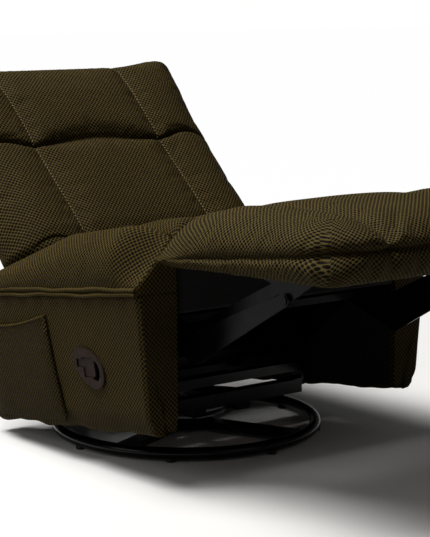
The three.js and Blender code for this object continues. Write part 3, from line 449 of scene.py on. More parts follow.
class Shade:
    """Short way to wire the nodes of a material or a world."""

    def __init__(self, name, owners=bpy.data.materials):
        self.owner = owners.new(name)
        self.owner.use_nodes = True
        self.tree = self.owner.node_tree
        self.tree.nodes.clear()

    def add(self, kind, settings=None, **inputs):
        """A node, with its inputs by name, or by place as i0, i1 and so on."""
        made = self.tree.nodes.new("ShaderNode" + kind)
        for key, value in (settings or {}).items():
            setattr(made, key, value)
        for key, value in inputs.items():
            by_place = key[0] == "i" and key[1:].isdigit()
            socket = made.inputs[int(key[1:]) if by_place else key.replace("_", " ")]
            if isinstance(value, bpy.types.NodeSocket):
                self.tree.links.new(value, socket)
            else:
                socket.default_value = value
        return made

    def math(self, operation, a, b):
        return self.add("Math", {"operation": operation}, i0=a, i1=b).outputs[0]

    def vector(self, operation, a, b=(0, 0, 0)):
        made = self.add("VectorMath", {"operation": operation}, i0=a, i1=b)
        return made.outputs["Value" if operation == "LENGTH" else "Vector"]

    def weigh(self, *parts):
        """Sum of values, each times its weight."""
        total = None
        for value, weight in parts:
            part = self.math("MULTIPLY", value, weight)
            total = part if total is None else self.math("ADD", total, part)
        return total

    def band(self, value, low, high, kind="SMOOTHSTEP"):
        made = self.add("MapRange", {"interpolation_type": kind},
                        Value=value, From_Min=low, From_Max=high)
        return made.outputs["Result"]

    def mix(self, share, a, b):
        return self.add("Mix", {"data_type": "RGBA"}, i0=share, i6=a, i7=b).outputs[2]

    def noise(self, vector, scale, detail=3.0):
        return self.add("TexNoise", Vector=vector, Scale=scale, Detail=detail).outputs["Fac"]

    def place(self):
        return self.add("TexCoord").outputs["Object"]

    def bump(self, height, distance, strength):
        made = self.add("Bump", Strength=strength, Distance=distance, Height=height)
        return made.outputs["Normal"]

    def done(self, colour, roughness, normal, **constants):
        shader = self.add("BsdfPrincipled", Base_Color=colour, Roughness=roughness,
                          Normal=normal, **constants)
        self.add("OutputMaterial", Surface=shader.outputs[0])
        return self.owner


def linear(r, g, b):
    """Scene-linear colour from 0 to 255 display values."""
    out = []
    for value in (r, g, b):
        v = value / 255
        out.append(v / 12.92 if v <= 0.04045 else ((v + 0.055) / 1.055) ** 2.4)
    return (*out, 1.0)


def scaled(colour, share):
    return tuple(share * c for c in colour[:3]) + (1,)


WEAVE_PERIOD = 9.4 * MM


def spacer_mesh(name, light, dark, hole=0.29, relief=0.9):
    """Knitted mesh cloth: round holes in two staggered rows over a darker ground.

    A hole's radius and its soft edge are shares of the knit's period. The rows wander a little.
    """
    soft_edge, wander = 0.07, 0.0022
    s = Shade(name)
    uv = s.add("UVMap", {"uv_map": "weave"}).outputs["UV"]
    drift = s.add("TexNoise", Vector=uv, Scale=60.0, Detail=2.0).outputs["Color"]
    drift = s.vector("MULTIPLY", s.vector("SUBTRACT", drift, (0.5, 0.5, 0.5)), (wander, wander, 0))
    rate = (1 / WEAVE_PERIOD, 1 / WEAVE_PERIOD, 0)
    cells = s.vector("MULTIPLY", s.vector("ADD", uv, drift), rate)
    distances = []
    for start in (0.0, 0.5):
        moved = s.vector("ADD", cells, (start, start, 0))
        local = s.vector("SUBTRACT", s.vector("FRACTION", moved), (0.5, 0.5, 0))
        distances.append(s.vector("LENGTH", local))
    thread = s.band(s.math("MINIMUM", *distances), hole - soft_edge, hole + soft_edge)
    strand = s.noise(s.vector("MULTIPLY", uv, (1, 1, 0)), scale=2400.0, detail=2.0)
    broad = s.noise(s.place(), scale=9.0, detail=4.0)
    fine = s.noise(s.place(), scale=70.0, detail=3.0)
    tone = s.weigh((broad, 0.3), (fine, 0.25), (strand, 0.45))
    lit = s.mix(s.band(tone, 0.3, 0.72, "LINEAR"), scaled(light, 0.68), scaled(light, 1.28))
    height = s.math("ADD", thread, s.math("MULTIPLY", strand, 0.18))
    return s.done(s.mix(thread, dark, lit), s.band(strand, -2.2, 1.2, "LINEAR"),
                  s.bump(height, relief * MM, strength=0.8), Specular_IOR_Level=0.08)


def plain_cloth(name, light, dark, relief=0.3):
    """Thin plain-woven backing cloth with slubs and a little dust."""
    s = Shade(name)
    place = s.place()
    across, along = (
        s.add("TexWave", {"wave_type": "BANDS", "bands_direction": way},
              Vector=place, Scale=150.0, Distortion=1.5).outputs["Fac"] for way in "YZ")
    weave = s.math("MULTIPLY", across, along)
    dust = s.noise(place, scale=14.0, detail=5.0)
    tone = s.weigh((weave, 0.5), (dust, 0.5))
    return s.done(s.mix(tone, dark, light), 0.9, s.bump(weave, relief * MM, strength=0.5),
                  Specular_IOR_Level=0.2)


def gloss_steel(name, base, lift, rough, metal=0.0, level=0.5):
    """Painted or plated steel with faint orange peel, rubbed patches and dust."""
    s = Shade(name)
    place = s.place()
    peel = s.noise(place, scale=420.0, detail=2.0)
    wear = s.noise(place, scale=22.0, detail=6.0)
    spread = s.math("ADD", s.math("MULTIPLY", wear, 0.22), rough)
    return s.done(s.mix(s.band(wear, 0.4, 0.75), base, lift), spread,
                  s.bump(peel, 0.12 * MM, strength=0.35), Metallic=metal, Specular_IOR_Level=level)


def moulded_plastic(name, base, lift, level=0.4):
    """Fine-grained moulded plastic with scuffs."""
    s = Shade(name)
    place = s.place()
    grain = s.noise(place, scale=1500.0, detail=2.0)
    scuff = s.noise(place, scale=60.0, detail=5.0)
    return s.done(s.mix(s.band(scuff, 0.45, 0.8), base, lift), s.band(grain, -1.2, 2.4, "LINEAR"),
                  s.bump(grain, 0.2 * MM, strength=0.6), Specular_IOR_Level=level)


def frame_timber(name, pale, brown):
    """Sawn softwood with grain along its length."""
    s = Shade(name)
    place = s.vector("MULTIPLY", s.place(), (3, 30, 30))
    rings = s.add("TexWave", {"wave_type": "RINGS"},
                  Vector=place, Scale=2.2, Distortion=7.0, Detail=3.0).outputs["Fac"]
    fleck = s.noise(place, scale=9.0, detail=6.0)
    tone = s.weigh((rings, 0.55), (fleck, 0.45))
    return s.done(s.mix(tone, brown, pale), 0.7, s.bump(tone, 0.4 * MM, strength=0.5))


OLIVE_DARK = linear(7, 4, 1)
ENAMEL, ENAMEL_DUST = linear(3, 3, 4), linear(8, 7, 7)
seat_mesh = spacer_mesh("mesh_cloth", linear(84, 70, 31), OLIVE_DARK)
# A lighter copy of the same mesh cloth for the footrest pad, whose top faces the lamps: painted
# light.
lit_pad_mesh = spacer_mesh("mesh_cloth_footrest_lit", linear(89, 76, 40), OLIVE_DARK)
# Darker copies of the same mesh cloth for the back and for the pocket, which sit in less light:
# painted shade.
shaded_back_mesh = spacer_mesh("mesh_cloth_back_shaded", linear(81, 68, 33), OLIVE_DARK)
shaded_pocket_mesh = spacer_mesh("mesh_cloth_pocket_shaded", linear(70, 58, 25), OLIVE_DARK)
welt_mesh = spacer_mesh("mesh_cloth_welt", linear(82, 69, 34), OLIVE_DARK, hole=0.2, relief=0.5)
black_cloth = plain_cloth("black_backing", linear(25, 22, 22), linear(8, 7, 7))
black_steel = gloss_steel("black_enamel", ENAMEL, ENAMEL_DUST, 0.15, level=0.08)
base_steel = gloss_steel("black_enamel_base", ENAMEL, ENAMEL_DUST, 0.1, level=0.22)
zinc_steel = gloss_steel("zinc_plate", linear(150, 150, 152), linear(105, 103, 99), 0.24, metal=1.0)
handle_plastic = moulded_plastic("handle_plastic", linear(50, 40, 36), linear(61, 50, 45),
                                 level=0.03)
foot_plastic = moulded_plastic("foot_plastic", linear(12, 12, 12), linear(24, 24, 24))
thread_material = plain_cloth("stitch_thread", linear(150, 134, 98), linear(105, 92, 62),
                              relief=0.1)
timber_material = frame_timber("frame_timber", linear(196, 160, 112), linear(140, 104, 66))

# The CAD nodes that stay in sight, by how their names start
for material, starts in (
        (black_steel, (
            "glide_link_", "seat_cross_tube_", "side_plate_", "lower_crank_", "upper_crank_",
            "long_link_", "guide_link_", "drive_tube", "footrest_bracket_", "back_bracket_")),
        (base_steel, ("base_", "carriage_")),
        (zinc_steel, ("swivel_race_", "swivel_bolt", "bearing_ball_cage")),
        (timber_material, ("back_post", "back_rail", "seat_rail", "footrest_board",
                           "seat_front_board", "seat_rear_board")),
        (handle_plastic, ("handle_housing", "release_lever"))):
    for name, node in NODES.items():
        if name.startswith(starts):
            node.data.materials.clear()
            node.data.materials.append(material)


# -------- stage

# The camera was fitted to the photo with the swivel at FITTED_SWIVEL_Y. Lengths in metres.
CAMERA_X, CAMERA_Y, CAMERA_Z = -2.1938, -2.7815, 0.9376
FITTED_SWIVEL_Y = 0.129388
CAMERA_YAW, CAMERA_PITCH = radians(37.98), radians(9.16)
CAMERA_LENS = 115.3
WHITE = (1, 1, 1, 1)
LAMP_COLOUR = (1.0, 0.985, 0.96)
FLOOR_HALF = 30.0


def facing(direction):
    return direction.to_track_quat("-Z", "Y").to_euler()


def build_stage():
    scene = bpy.context.scene
    scene.view_settings.view_transform = "Standard"
    camera = bpy.data.cameras.new("camera")
    camera.sensor_width = 36
    camera.lens = CAMERA_LENS
    camera.clip_end = 100
    eye = bpy.data.objects.new("camera", camera)
    scene.collection.objects.link(eye)
    eye.location = (CAMERA_X, CAMERA_Y + (SWIVEL_Y * MM - FITTED_SWIVEL_Y), CAMERA_Z)
    level = cos(CAMERA_PITCH)
    eye.rotation_euler = facing(
        Vector((sin(CAMERA_YAW) * level, cos(CAMERA_YAW) * level, -sin(CAMERA_PITCH))))
    scene.camera = eye

    # Matt near the chair, where its shadow falls, and plain white further out
    s = Shade("floor")
    far = s.band(s.vector("LENGTH", s.place()), 0.9, 2.6)
    rays = s.add("LightPath").outputs
    seen = s.math("MAXIMUM", rays["Is Camera Ray"], rays["Is Glossy Ray"])
    seen = s.math("MAXIMUM", seen, rays["Is Transmission Ray"])
    matt = s.add("BsdfDiffuse", Color=s.mix(seen, (0.2, 0.2, 0.2, 1), (0.9, 0.9, 0.9, 1)))
    glow = s.add("Emission", Color=WHITE, Strength=1.0)
    grain = s.math("MULTIPLY", s.noise(s.place(), scale=40.0), 0.02)
    share = s.math("MULTIPLY", s.math("SUBTRACT", far, grain), seen)
    blend = s.add("MixShader", i0=share, i1=matt.outputs[0], i2=glow.outputs[0])
    s.add("OutputMaterial", Surface=blend.outputs[0])
    mesh = bpy.data.meshes.new("floor")
    corners = [(-1, -1), (1, -1), (1, 1), (-1, 1)]
    mesh.from_pydata([(FLOOR_HALF * x, FLOOR_HALF * y, 0) for x, y in corners], [], [[0, 1, 2, 3]])
    mesh.materials.append(s.owner)
    floor = bpy.data.objects.new("floor", mesh)
    scene.collection.objects.link(floor)

    # White to the camera, and dim as a light
    w = Shade("studio", bpy.data.worlds)
    scene.world = w.owner
    rays = w.add("LightPath").outputs
    seen = w.math("MAXIMUM", rays["Is Camera Ray"], rays["Is Transmission Ray"])
    dim, bright = (w.add("Background", Color=WHITE, Strength=power) for power in (0.05, 1.0))
    blend = w.add("MixShader", i0=seen, i1=dim.outputs[0], i2=bright.outputs[0])
    w.add("OutputWorld", Surface=blend.outputs[0])

    for name, place, target, size, power in (
            ("overhead", (-2.0, 1.8, 6.4), (0, 0, 0.4), (3.8, 3.8), 590),
            ("left", (-2.8, 0.0, 1.7), (0, 0, 0.3), (1.4, 1.6), 9),
            ("front", (0.6, -3.6, 2.2), (0, 0, 0.45), (1.8, 1.8), 2.5)):
        lamp = bpy.data.lights.new(name, "AREA")
        lamp.shape = "RECTANGLE"
        lamp.size, lamp.size_y = size
        lamp.energy = power
        lamp.color = LAMP_COLOUR
        made = bpy.data.objects.new(name, lamp)
        scene.collection.objects.link(made)
        made.location = place
        made.rotation_euler = facing(Vector(target) - Vector(place))


# -------- footrest pad

PAD_HALF, PAD_LONG, PAD_COLUMN = 318, 463, 176


def build_pad():
    # A rounding is its reach in from the edge and its power, 2 for a quarter of an ellipse.
    side_round, side_round_rear, front_round = (76, 2.0), (98, 1.22), (92, 1.9)
    rear_round, under_round, under_round_rear = (6, 2.4), (22, 2.2), (16, 2.2)
    outer_middle, outer_half = (PAD_HALF + PAD_COLUMN) / 2, (PAD_HALF - PAD_COLUMN) / 2
    crown_at, crowns, column_crown = [-PAD_LONG, -250, -150, -70, 0], [98, 106, 102, 91, 76], 6
    seam_rear, seam_front, channel_half, channel_deep = 8, 53, 26, 20
    side_bulge, under_bulge, seam_draw, seam_reach, blend_rear = 14, 12, 5, 0.035, 150
    pucker_deep, pucker_reach, spread, spread_from, waist = 3.4, 26, 19, 130, 3
    tuck_deep, tuck_half, tuck_reach, sag_deep, sag_at, sag_reach = 14, 34, 70, 6, 18, 22
    under_lift, under_radius, wrap, cap = 0.6, 36, 30, 7
    rim_rows, first_row = np.array([0, 0.07, 0.35, 1.0]), 1.6
    outer = cosine_spread(PAD_COLUMN, PAD_HALF, 37)
    outer = np.concatenate([outer[outer < PAD_HALF - first_row], PAD_HALF - rim_rows[::-1]])
    inner = cosine_spread(-PAD_COLUMN, PAD_COLUMN, 69)
    xs = np.concatenate([-outer[::-1][:-1], inner[:-1], outer])
    ys = cosine_spread(-PAD_LONG, 0, 96, 0.8)
    ys = np.concatenate([rim_rows - PAD_LONG, ys[ys > first_row - PAD_LONG]])
    x, y = grid_of(xs, ys)
    out = np.sign(x)
    side_in, front_in = PAD_HALF - np.abs(x), y + PAD_LONG
    inward = np.minimum(side_in, front_in)
    near_rear = ease(y, -blend_rear, 0)
    px, py = TURN_RADIUS - side_in, TURN_RADIUS - front_in
    phi = np.arctan2(np.maximum(py, 0), np.maximum(px, 1e-6))

    side_share = lerp(swell(inward, *side_round), swell(inward, *side_round_rear), near_rear)
    share = lerp(side_share, swell(inward, *front_round), phi * 2 / pi)
    column = np.where(np.abs(x) < PAD_COLUMN, x / PAD_COLUMN,
                      (np.abs(x) - outer_middle) / outer_half)
    crown = np.interp(y, crown_at, crowns) + column_crown * (1 - column ** 2)
    sewn = channels(x, PAD_COLUMN, channel_half)
    seam = lerp(seam_rear, seam_front, np.clip(-y / PAD_LONG, 0, 1))
    top = seam + (crown - seam - channel_deep * sewn) * share * swell(-y, *rear_round)
    pucker = pucker_deep * bumps(x / 21, y / 17, 3.1) * np.exp(-(inward / pucker_reach) ** 2)
    wide = spread * ease(y, -spread_from, 0) - waist * np.sin(pi * -y / PAD_LONG)
    wide = wide * np.abs(x) / PAD_HALF
    tuck = tuck_deep * channels(x, PAD_COLUMN, tuck_half) * np.exp(-(front_in / tuck_reach) ** 2)

    def proud(part, reach):
        """How far the cloth bulges out past the seam at a share of its height."""
        part = np.clip(part, 0, 1)
        draw = seam_draw * np.exp(-part / seam_reach)
        return (reach * np.sin(pi * part ** 0.8) - draw) * (1 - near_rear)

    def panel(plan, bulge, drawn, height):
        return xyz(plan[0] + out * (wide + bulge * np.cos(phi)),
                   plan[1] + drawn - bulge * np.sin(phi), height)

    plan = round_corner(x, y, side_in, front_in, TURN_RADIUS)
    upper = panel(plan, proud(share, side_bulge) + pucker * np.minimum(1, 5 * share), tuck, top)
    boxing = swell(inward, *under_round) * swell(-y, *under_round_rear)
    sag = sag_deep * np.exp(-((inward - sag_at) / sag_reach) ** 2)
    low = lerp(seam, under_lift - sag * swell(-y, 60), boxing)
    bulge = (proud(boxing, under_bulge) + pucker * (boxing < 0.9)) * (inward < 24)
    low_plan = round_corner(x, y, side_in, front_in, lerp(TURN_RADIUS, under_radius, boxing))
    lower = panel(low_plan, bulge, tuck * (1 - boxing), low)

    # How much further the cloth runs than the plan, by the distance in from the edge
    mid = (x.shape[0] // 2, x.shape[1] // 2)
    over_runs, under_runs = cloth_map(upper), cloth_map(lower)
    right = xs > 0
    from_side, from_front = (PAD_HALF - xs[right])[::-1], ys + PAD_LONG
    side_over = (over_runs[:, mid[1], 0] - xs)[right][::-1]
    front_over = -np.minimum(over_runs[mid[0], :, 1] - (ys - ys[mid[1]]), 0)
    side_under = (under_runs[-1, mid[1], 0] - under_runs[:, mid[1], 0])[right][::-1]
    front_under = under_runs[mid[0], :, 1] - under_runs[mid[0], 0, 1]

    def across(inward):
        return np.interp(inward, from_side, side_over)

    def ahead(inward):
        return np.interp(inward, from_front, front_over)

    def under_across(inward):
        run = across(0) + inward + np.interp(inward, from_side, side_under)
        return np.where(inward < wrap, run, 0)

    def under_ahead(inward):
        run = ahead(0) + inward + np.interp(inward, from_front, front_under)
        return np.where(inward < wrap, run, 0)

    over, choice = turned_weave(*plan, side_in, front_in, across, ahead, PAD_HALF)
    under, _ = turned_weave(*low_plan, side_in, front_in, under_across, under_ahead,
                            PAD_HALF, square=boxing)
    pad = pillow_mesh("foot_pad", in_foot(upper), in_foot(lower), lit_pad_mesh, (over, under), choice)
    held = channels(x, PAD_COLUMN, 5) > 0
    held |= (side_in < 2) | (y > -3) | (front_in < 2)
    resting = (side_in > under_round[0]) & (front_in > under_round[0])
    stuff(pad, held, resting, cap)
    return pad


# -------- seat cushion

def build_seat():
    half, front, rear, bottom, column = 278.5, -36, 392, 318.4, 166
    rim, crown_front, crown_rear, channel_half, channel_deep, cap = 20, 80, 46, 30, 12, 8
    x, y = grid_of(cosine_spread(-half, half, 97, 0.5), cosine_spread(front, rear, 72, 0.6))
    side_in, front_in, rear_in = half - np.abs(x), y - front, rear - y

    def rounded(by_side, by_front, by_rear):
        return swell(side_in, by_side) * swell(front_in, by_front) * swell(rear_in, by_rear)

    crown = lerp(crown_front, crown_rear, ease(y, 0, rear))
    deep = channel_deep * channels(x, column, channel_half)
    top = bottom + rim + (crown - rim - deep) * rounded(44, 34, 60)
    low = bottom + rim * (1 - rounded(20, 20, 20))
    faces = [in_body(xyz(x, y, height)) for height in (top, low)]
    cushion = pillow_mesh("seat_pad", *faces, seat_mesh)
    held = channels(x, column, 7) > 0
    held |= (side_in < 3) | (front_in < 3) | (rear_in < 3)
    stuff(cushion, held, np.ones_like(held), cap)
    return cushion


# -------- back

# Widths and heights over the face, and depths square to it, less being further forward
BACK_HALF, BACK_LOW, BACK_TOP, BACK_COLUMN, BACK_ROWS = 335, -62, 582, 170, (58, 338)
FLARE_FROM = 380


def back_width(v):
    """Half the width: narrow between the arms, and flared towards the top."""
    between_arms, flare = 279.0, 9
    wide = lerp(between_arms, BACK_HALF, ease(v, 4, 70))
    return wide + flare * ease(v, FLARE_FROM, BACK_TOP)


def back_rise(u, v):
    """The top corners stand higher than the top's middle."""
    rise = 16
    return rise * ease(np.abs(u), BACK_COLUMN / BACK_HALF, 0.92) * ease(v, BACK_ROWS[1], BACK_TOP)


def row_lift(x):
    """The row seams arch up over each column and dip where they meet the column seams."""
    arch, outer_middle, outer_half = 8, 252, 83
    middle = arch * np.cos(pi * x / BACK_COLUMN)
    outer = arch * np.cos(pi * (np.abs(x) - outer_middle) / outer_half)
    return np.where(np.abs(x) < BACK_COLUMN, middle, outer)


def build_back():
    face_at, face_w = [-62, 90, 200, 338, 480, 574], [-34, -36, -24, -12, 0, 16]
    rim, rear_bulge, heel_deep, channel_half, channel_deep = 46, 25, 24, 24, 8
    roll_high, seam_deep, seam_above, seam_below, row_reach, cap = 5, 11, 8, 11, 40, 9
    inset, shell_flat, shell_bulge, shell_round = 14, 72.6, 31, 60
    column = BACK_COLUMN / BACK_HALF
    us = np.concatenate([cosine_spread(-1, -column, 33)[:-1],
                         cosine_spread(-column, column, 61)[:-1],
                         cosine_spread(column, 1, 33)])
    vs = np.concatenate([cosine_spread(BACK_LOW, BACK_ROWS[0], 26)[:-1],
                         cosine_spread(*BACK_ROWS, 50)[:-1],
                         cosine_spread(BACK_ROWS[1], BACK_TOP, 46)])
    u, v = grid_of(us, vs)
    x = u * BACK_HALF
    lift = row_lift(x)
    follow = [np.exp(-((v - row) / row_reach) ** 2) * lift for row in BACK_ROWS]
    v = v + follow[0] + follow[1]
    x = u * back_width(v)

    roll, seam_in = np.zeros_like(v), np.zeros_like(v)
    for row, deep in zip(BACK_ROWS, (0.15, 1)):
        at = row + lift
        above = np.clip(1 - (v - at) / seam_above, 0, 1) ** 1.5 * (v >= at)
        below = np.clip(1 - (at - v) / seam_below, 0, 1) ** 1.6 * (v < at)
        seam_in = np.maximum(seam_in, deep * (above + below))
    edges = (BACK_LOW, *BACK_ROWS, BACK_TOP)
    for low, high in zip(edges, edges[1:]):
        share = np.clip((v - low - lift) / (high - low), 0, 1)
        inside = (v >= low + lift) & (v < high + lift)
        roll = np.where(inside, np.sin(pi * share ** 0.62), roll)

    side_in = (1 - np.abs(u)) * BACK_HALF
    side_share = lerp(swell(side_in, 90, 1.9), swell(side_in, 58, 2.2),
                      ease(v, FLARE_FROM, BACK_TOP))
    reach = side_share * swell(v - BACK_LOW, 40) * swell(BACK_TOP - v, 34, 2.1)
    face = np.interp(v, face_at, face_w)
    heel = heel_deep * (1 - ease(v, -50, 60))
    relief = roll_high * roll - seam_deep * np.minimum(1, seam_in)
    depth = (rim - face - heel + relief * lerp(0.4, 1, ease(side_in, 0, 80))
             - channel_deep * channels(x, BACK_COLUMN, channel_half))
    full = swell(side_in, 12) * swell(v - BACK_LOW, 26) * swell(BACK_TOP - v, 26)
    up = v + back_rise(u, v)
    faces = [xyz(x, w, up) for w in (rim - depth * reach, rim + rear_bulge * full)]
    weaves = corner_map(*faces, x, v, side_in, BACK_TOP - v)
    pad = pillow_mesh("back_pad", *[in_back(grid) for grid in faces], shaded_back_mesh, weaves)
    held = (channels(x, BACK_COLUMN, 6) > 0) | (seam_in > 0.93)
    held |= (side_in < 4) | (v < BACK_LOW + 4) | (v > BACK_TOP - 4)
    stuff(pad, held, np.ones_like(held), cap)

    low, high = BACK_LOW + inset, BACK_TOP - inset
    u, v = grid_of(np.linspace(-1, 1, 81), np.linspace(low, high, 81))
    x, up = u * (back_width(v) - inset), v + back_rise(u, v)
    full = (swell((1 - np.abs(u)) * BACK_HALF, shell_round)
            * swell(v - low, shell_round) * swell(high - v, shell_round))
    faces = [in_back(xyz(x, shell_flat + bulge * full, up)) for bulge in (0, shell_bulge)]
    shell = pillow_mesh("back_shell", *faces, seat_mesh)
    return pad, shell


# -------- arms

ARM_LONG, ARM_SEAM, ARM_IN, ARM_THICK, ARM_SPREAD = 585, 266, 284, 66, 25
ARM_FLARE = atan2(ARM_SPREAD, ARM_SEAM)
FRONT_LEAN = tan(radians(7.5))


def lean(y, z):
    """The arms' front edge is upright while the body leans back."""
    return y - (1 - y / ARM_LONG) * z * FRONT_LEAN


def arm_outer(z):
    return ARM_IN + ARM_THICK + ARM_SPREAD * np.clip(z / ARM_SEAM, 0, 1)


def arm_shell(side, hand):
    """The upholstered side below the pillow, gathered along its hem."""
    ys = np.concatenate([[0, 0.8, 2, 3.5, 5, 6.5, 9, 13, 20, 30], np.linspace(40, 545, 60),
                         [555, 563, 570, 576, 581, 584, 585]])
    rings = []
    for y in ys:
        close = (8 * (1 - swell(y, 9)) + 9 * (1 - swell(ARM_LONG - y, 12))
                 + 2.2 * groove(y, 5, 5))
        hem = 3.2 * sin(y / 31.0 + side) + 1.6 * sin(y / 13.0)
        outer = []
        for t in np.linspace(0, 1, 30):
            z = lerp(2, ARM_SEAM - 2, t)
            ripple = noise.noise(Vector((y / 60.0, z / 90.0, 3.7 * side)))
            ripple *= 2.4 * sin(pi * min(1, t * 1.2 + 0.1))
            ripple += 1.6 * sin(y / 9.0) * exp(-((z - ARM_SEAM) / 26) ** 2)
            tuck = 9 * np.clip((34 - z) / 24, 0, 1) ** 2
            outer.append((arm_outer(z) - close + ripple - tuck, z + hem * (1 - t) ** 3))
        low, high = arm_outer(0) - close, arm_outer(ARM_SEAM) - close
        outline = [(ARM_IN + 4, hem * 0.3 - 2), (ARM_IN + 26, hem * 0.4 - 5),
                   (low - 34, hem * 0.7 - 8), (low - 18, hem * 0.9 - 6.5),
                   *outer,
                   (high - 6, ARM_SEAM - 0.6), (ARM_IN + 50, ARM_SEAM - 0.4),
                   (ARM_IN + 3, ARM_SEAM - 0.6), (ARM_IN + 0.4, ARM_SEAM - 4),
                   (ARM_IN + 0.2, 140), (ARM_IN + 0.4, 8)]
        rings.append([(side * px, lean(y, pz), pz) for px, pz in outline])
    return map_ends(loft_mesh(f"arm_side_{hand}", in_body(rings), seat_mesh))


def cut_well(shell):
    """Sinks the handle's well into the right arm, square to its flared face."""
    half_long, half_wide, egg, tilt = 50.3, 30.3, 0.15, radians(-30)
    well_y, well_z, deep, proud = 169.0, 124.0, 30.3, 8
    centre = np.array([-arm_outer(well_z), well_y, well_z])
    ahead = np.array([0, -1.0, 0])
    up = np.array([-sin(ARM_FLARE), 0, cos(ARM_FLARE)])
    out = np.array([-cos(ARM_FLARE), 0, -sin(ARM_FLARE)])
    oval = []
    for angle in full_turn(48):
        along = half_long * cos(angle)
        across = half_wide * sin(angle) * (1 + egg * cos(angle))
        oval.append((along * cos(tilt) - across * sin(tilt),
                     along * sin(tilt) + across * cos(tilt)))
    points = np.array([in_body(centre + ahead * x + up * y + out * z)
                       for z in (-deep, proud) for x, y in oval])
    n = len(oval)
    faces = [[i, (i + 1) % n, n + (i + 1) % n, n + i] for i in range(n)]
    faces += [list(range(n))[::-1], list(range(n, 2 * n))]
    tool = finish_mesh("well", points, outward(points, faces), None, black_cloth, smooth=False)
    modifier = shell.modifiers.new("well", "BOOLEAN")
    modifier.object = tool
    modifier.solver = "EXACT"
    bpy.context.view_layer.objects.active = shell
    bpy.ops.object.modifier_apply(modifier=modifier.name)
    bpy.data.objects.remove(tool, do_unlink=True)


def arm_pillow(side, hand):
    """The padded top, blunt where it meets the pad and full further back."""
    rows = np.concatenate([[0, 1, 3, 6, 10, 15, 22, 30, 40], np.linspace(52, 500, 46),
                           [515, 530, 545, 558, 568, 576, 581, 584, 585]])
    rise_at, rises = [0, 50, 108, 258, 428, 585], [134, 132, 127, 117, 72, 30]
    seam_x, lowest = 374, 266.2
    blunt_shape = ((1, 0.14), (-14, 0.25), (-38, 0.43), (-62, 0.64), (-80, 0.78))
    full_shape = ((6, 0.16), (9, 0.36), (4, 0.62), (-14, 0.86), (-38, 1))
    rings = []
    for y in rows:
        along = swell(y, 5, 2.4) * swell(ARM_LONG - y, 60, 2.0)
        h = float(np.interp(y, rise_at, rises)) * (0.12 + 0.88 * along)
        draw = 8 * (1 - along)
        seam, inner = seam_x - draw, draw * 0.4
        far = float(ease(y, 0, 85))
        blunt, full = ([(seam + out, ARM_SEAM + up * h) for out, up in shape]
                       for shape in (blunt_shape, full_shape))
        outer = [(lerp(a[0], b[0], far), lerp(a[1], b[1], far)) for a, b in zip(blunt, full)]
        outline = closed_curve(
            [(seam - 4, ARM_SEAM + 0.3), (seam, ARM_SEAM + 2.5), *outer,
             (ARM_IN + 12 + inner, ARM_SEAM + lerp(0.81, 0.93, far) * h),
             (ARM_IN + 3 + inner, ARM_SEAM + 0.66 * h), (ARM_IN + 1 + inner, ARM_SEAM + 0.3 * h),
             (ARM_IN + 3 + inner, ARM_SEAM + 0.4), (ARM_IN + 46, ARM_SEAM + 0.3)], 64)
        ripples = bumps(y / 45.0, np.arange(len(outline)) / 7.0, 9.1 * side)
        rings.append([(side * (px + 1.6 * ripple * min(1, (pz - ARM_SEAM) / 20)), lean(y, pz),
                       max(pz, lowest)) for (px, pz), ripple in zip(outline, ripples)])
    return map_ends(loft_mesh(f"arm_top_{hand}", in_body(rings), seat_mesh))


def build_arm(side):
    hand = "right" if side < 0 else "left"
    shell = arm_shell(side, hand)
    if hand == "right":
        cut_well(shell)
    dress(shell, "seat", "arm_fabric", f"arm_{hand}")

    pillow = arm_pillow(side, hand)
    dress(pillow, "seat", "arm_fabric", f"arm_pillow_{hand}")

    welt_x, welt_radius, welt_gap = 377.5, 4.0, 10.5
    welts = []
    for lift in (0.0, welt_gap):
        path = []
        for y in np.linspace(580, 4, 90):
            wave = 1.3 * sin(y / 37.0 + lift) + 0.7 * sin(y / 16.0)
            path.append((side * (welt_x + 0.1 * lift), lean(y, ARM_SEAM + lift),
                         ARM_SEAM + 1.5 + lift + wave))
        welts.append(tube_mesh("welt", in_body(path), welt_radius, welt_mesh))
    welt = joined(f"arm_welt_{hand}", welts)
    dress(welt, "seat", "arm_fabric")

    y, z = grid_of(np.linspace(12, ARM_LONG - 12, 70), np.linspace(6, ARM_SEAM - 0.5, 40))
    sag = 0.45 * (1 + bumps(y / 38.0, z / 140.0, 5.5 * side))
    inner, outer = (in_body(xyz(side * across, lean(y, z), z))
                    for across in (ARM_IN - 1.2 - sag * 1.4, ARM_IN - 0.4))
    lining = pillow_mesh(f"arm_cloth_{hand}", inner, outer, black_cloth)
    dress(lining, "seat", "black_cloth", f"arm_lining_{hand}")


# -------- pocket

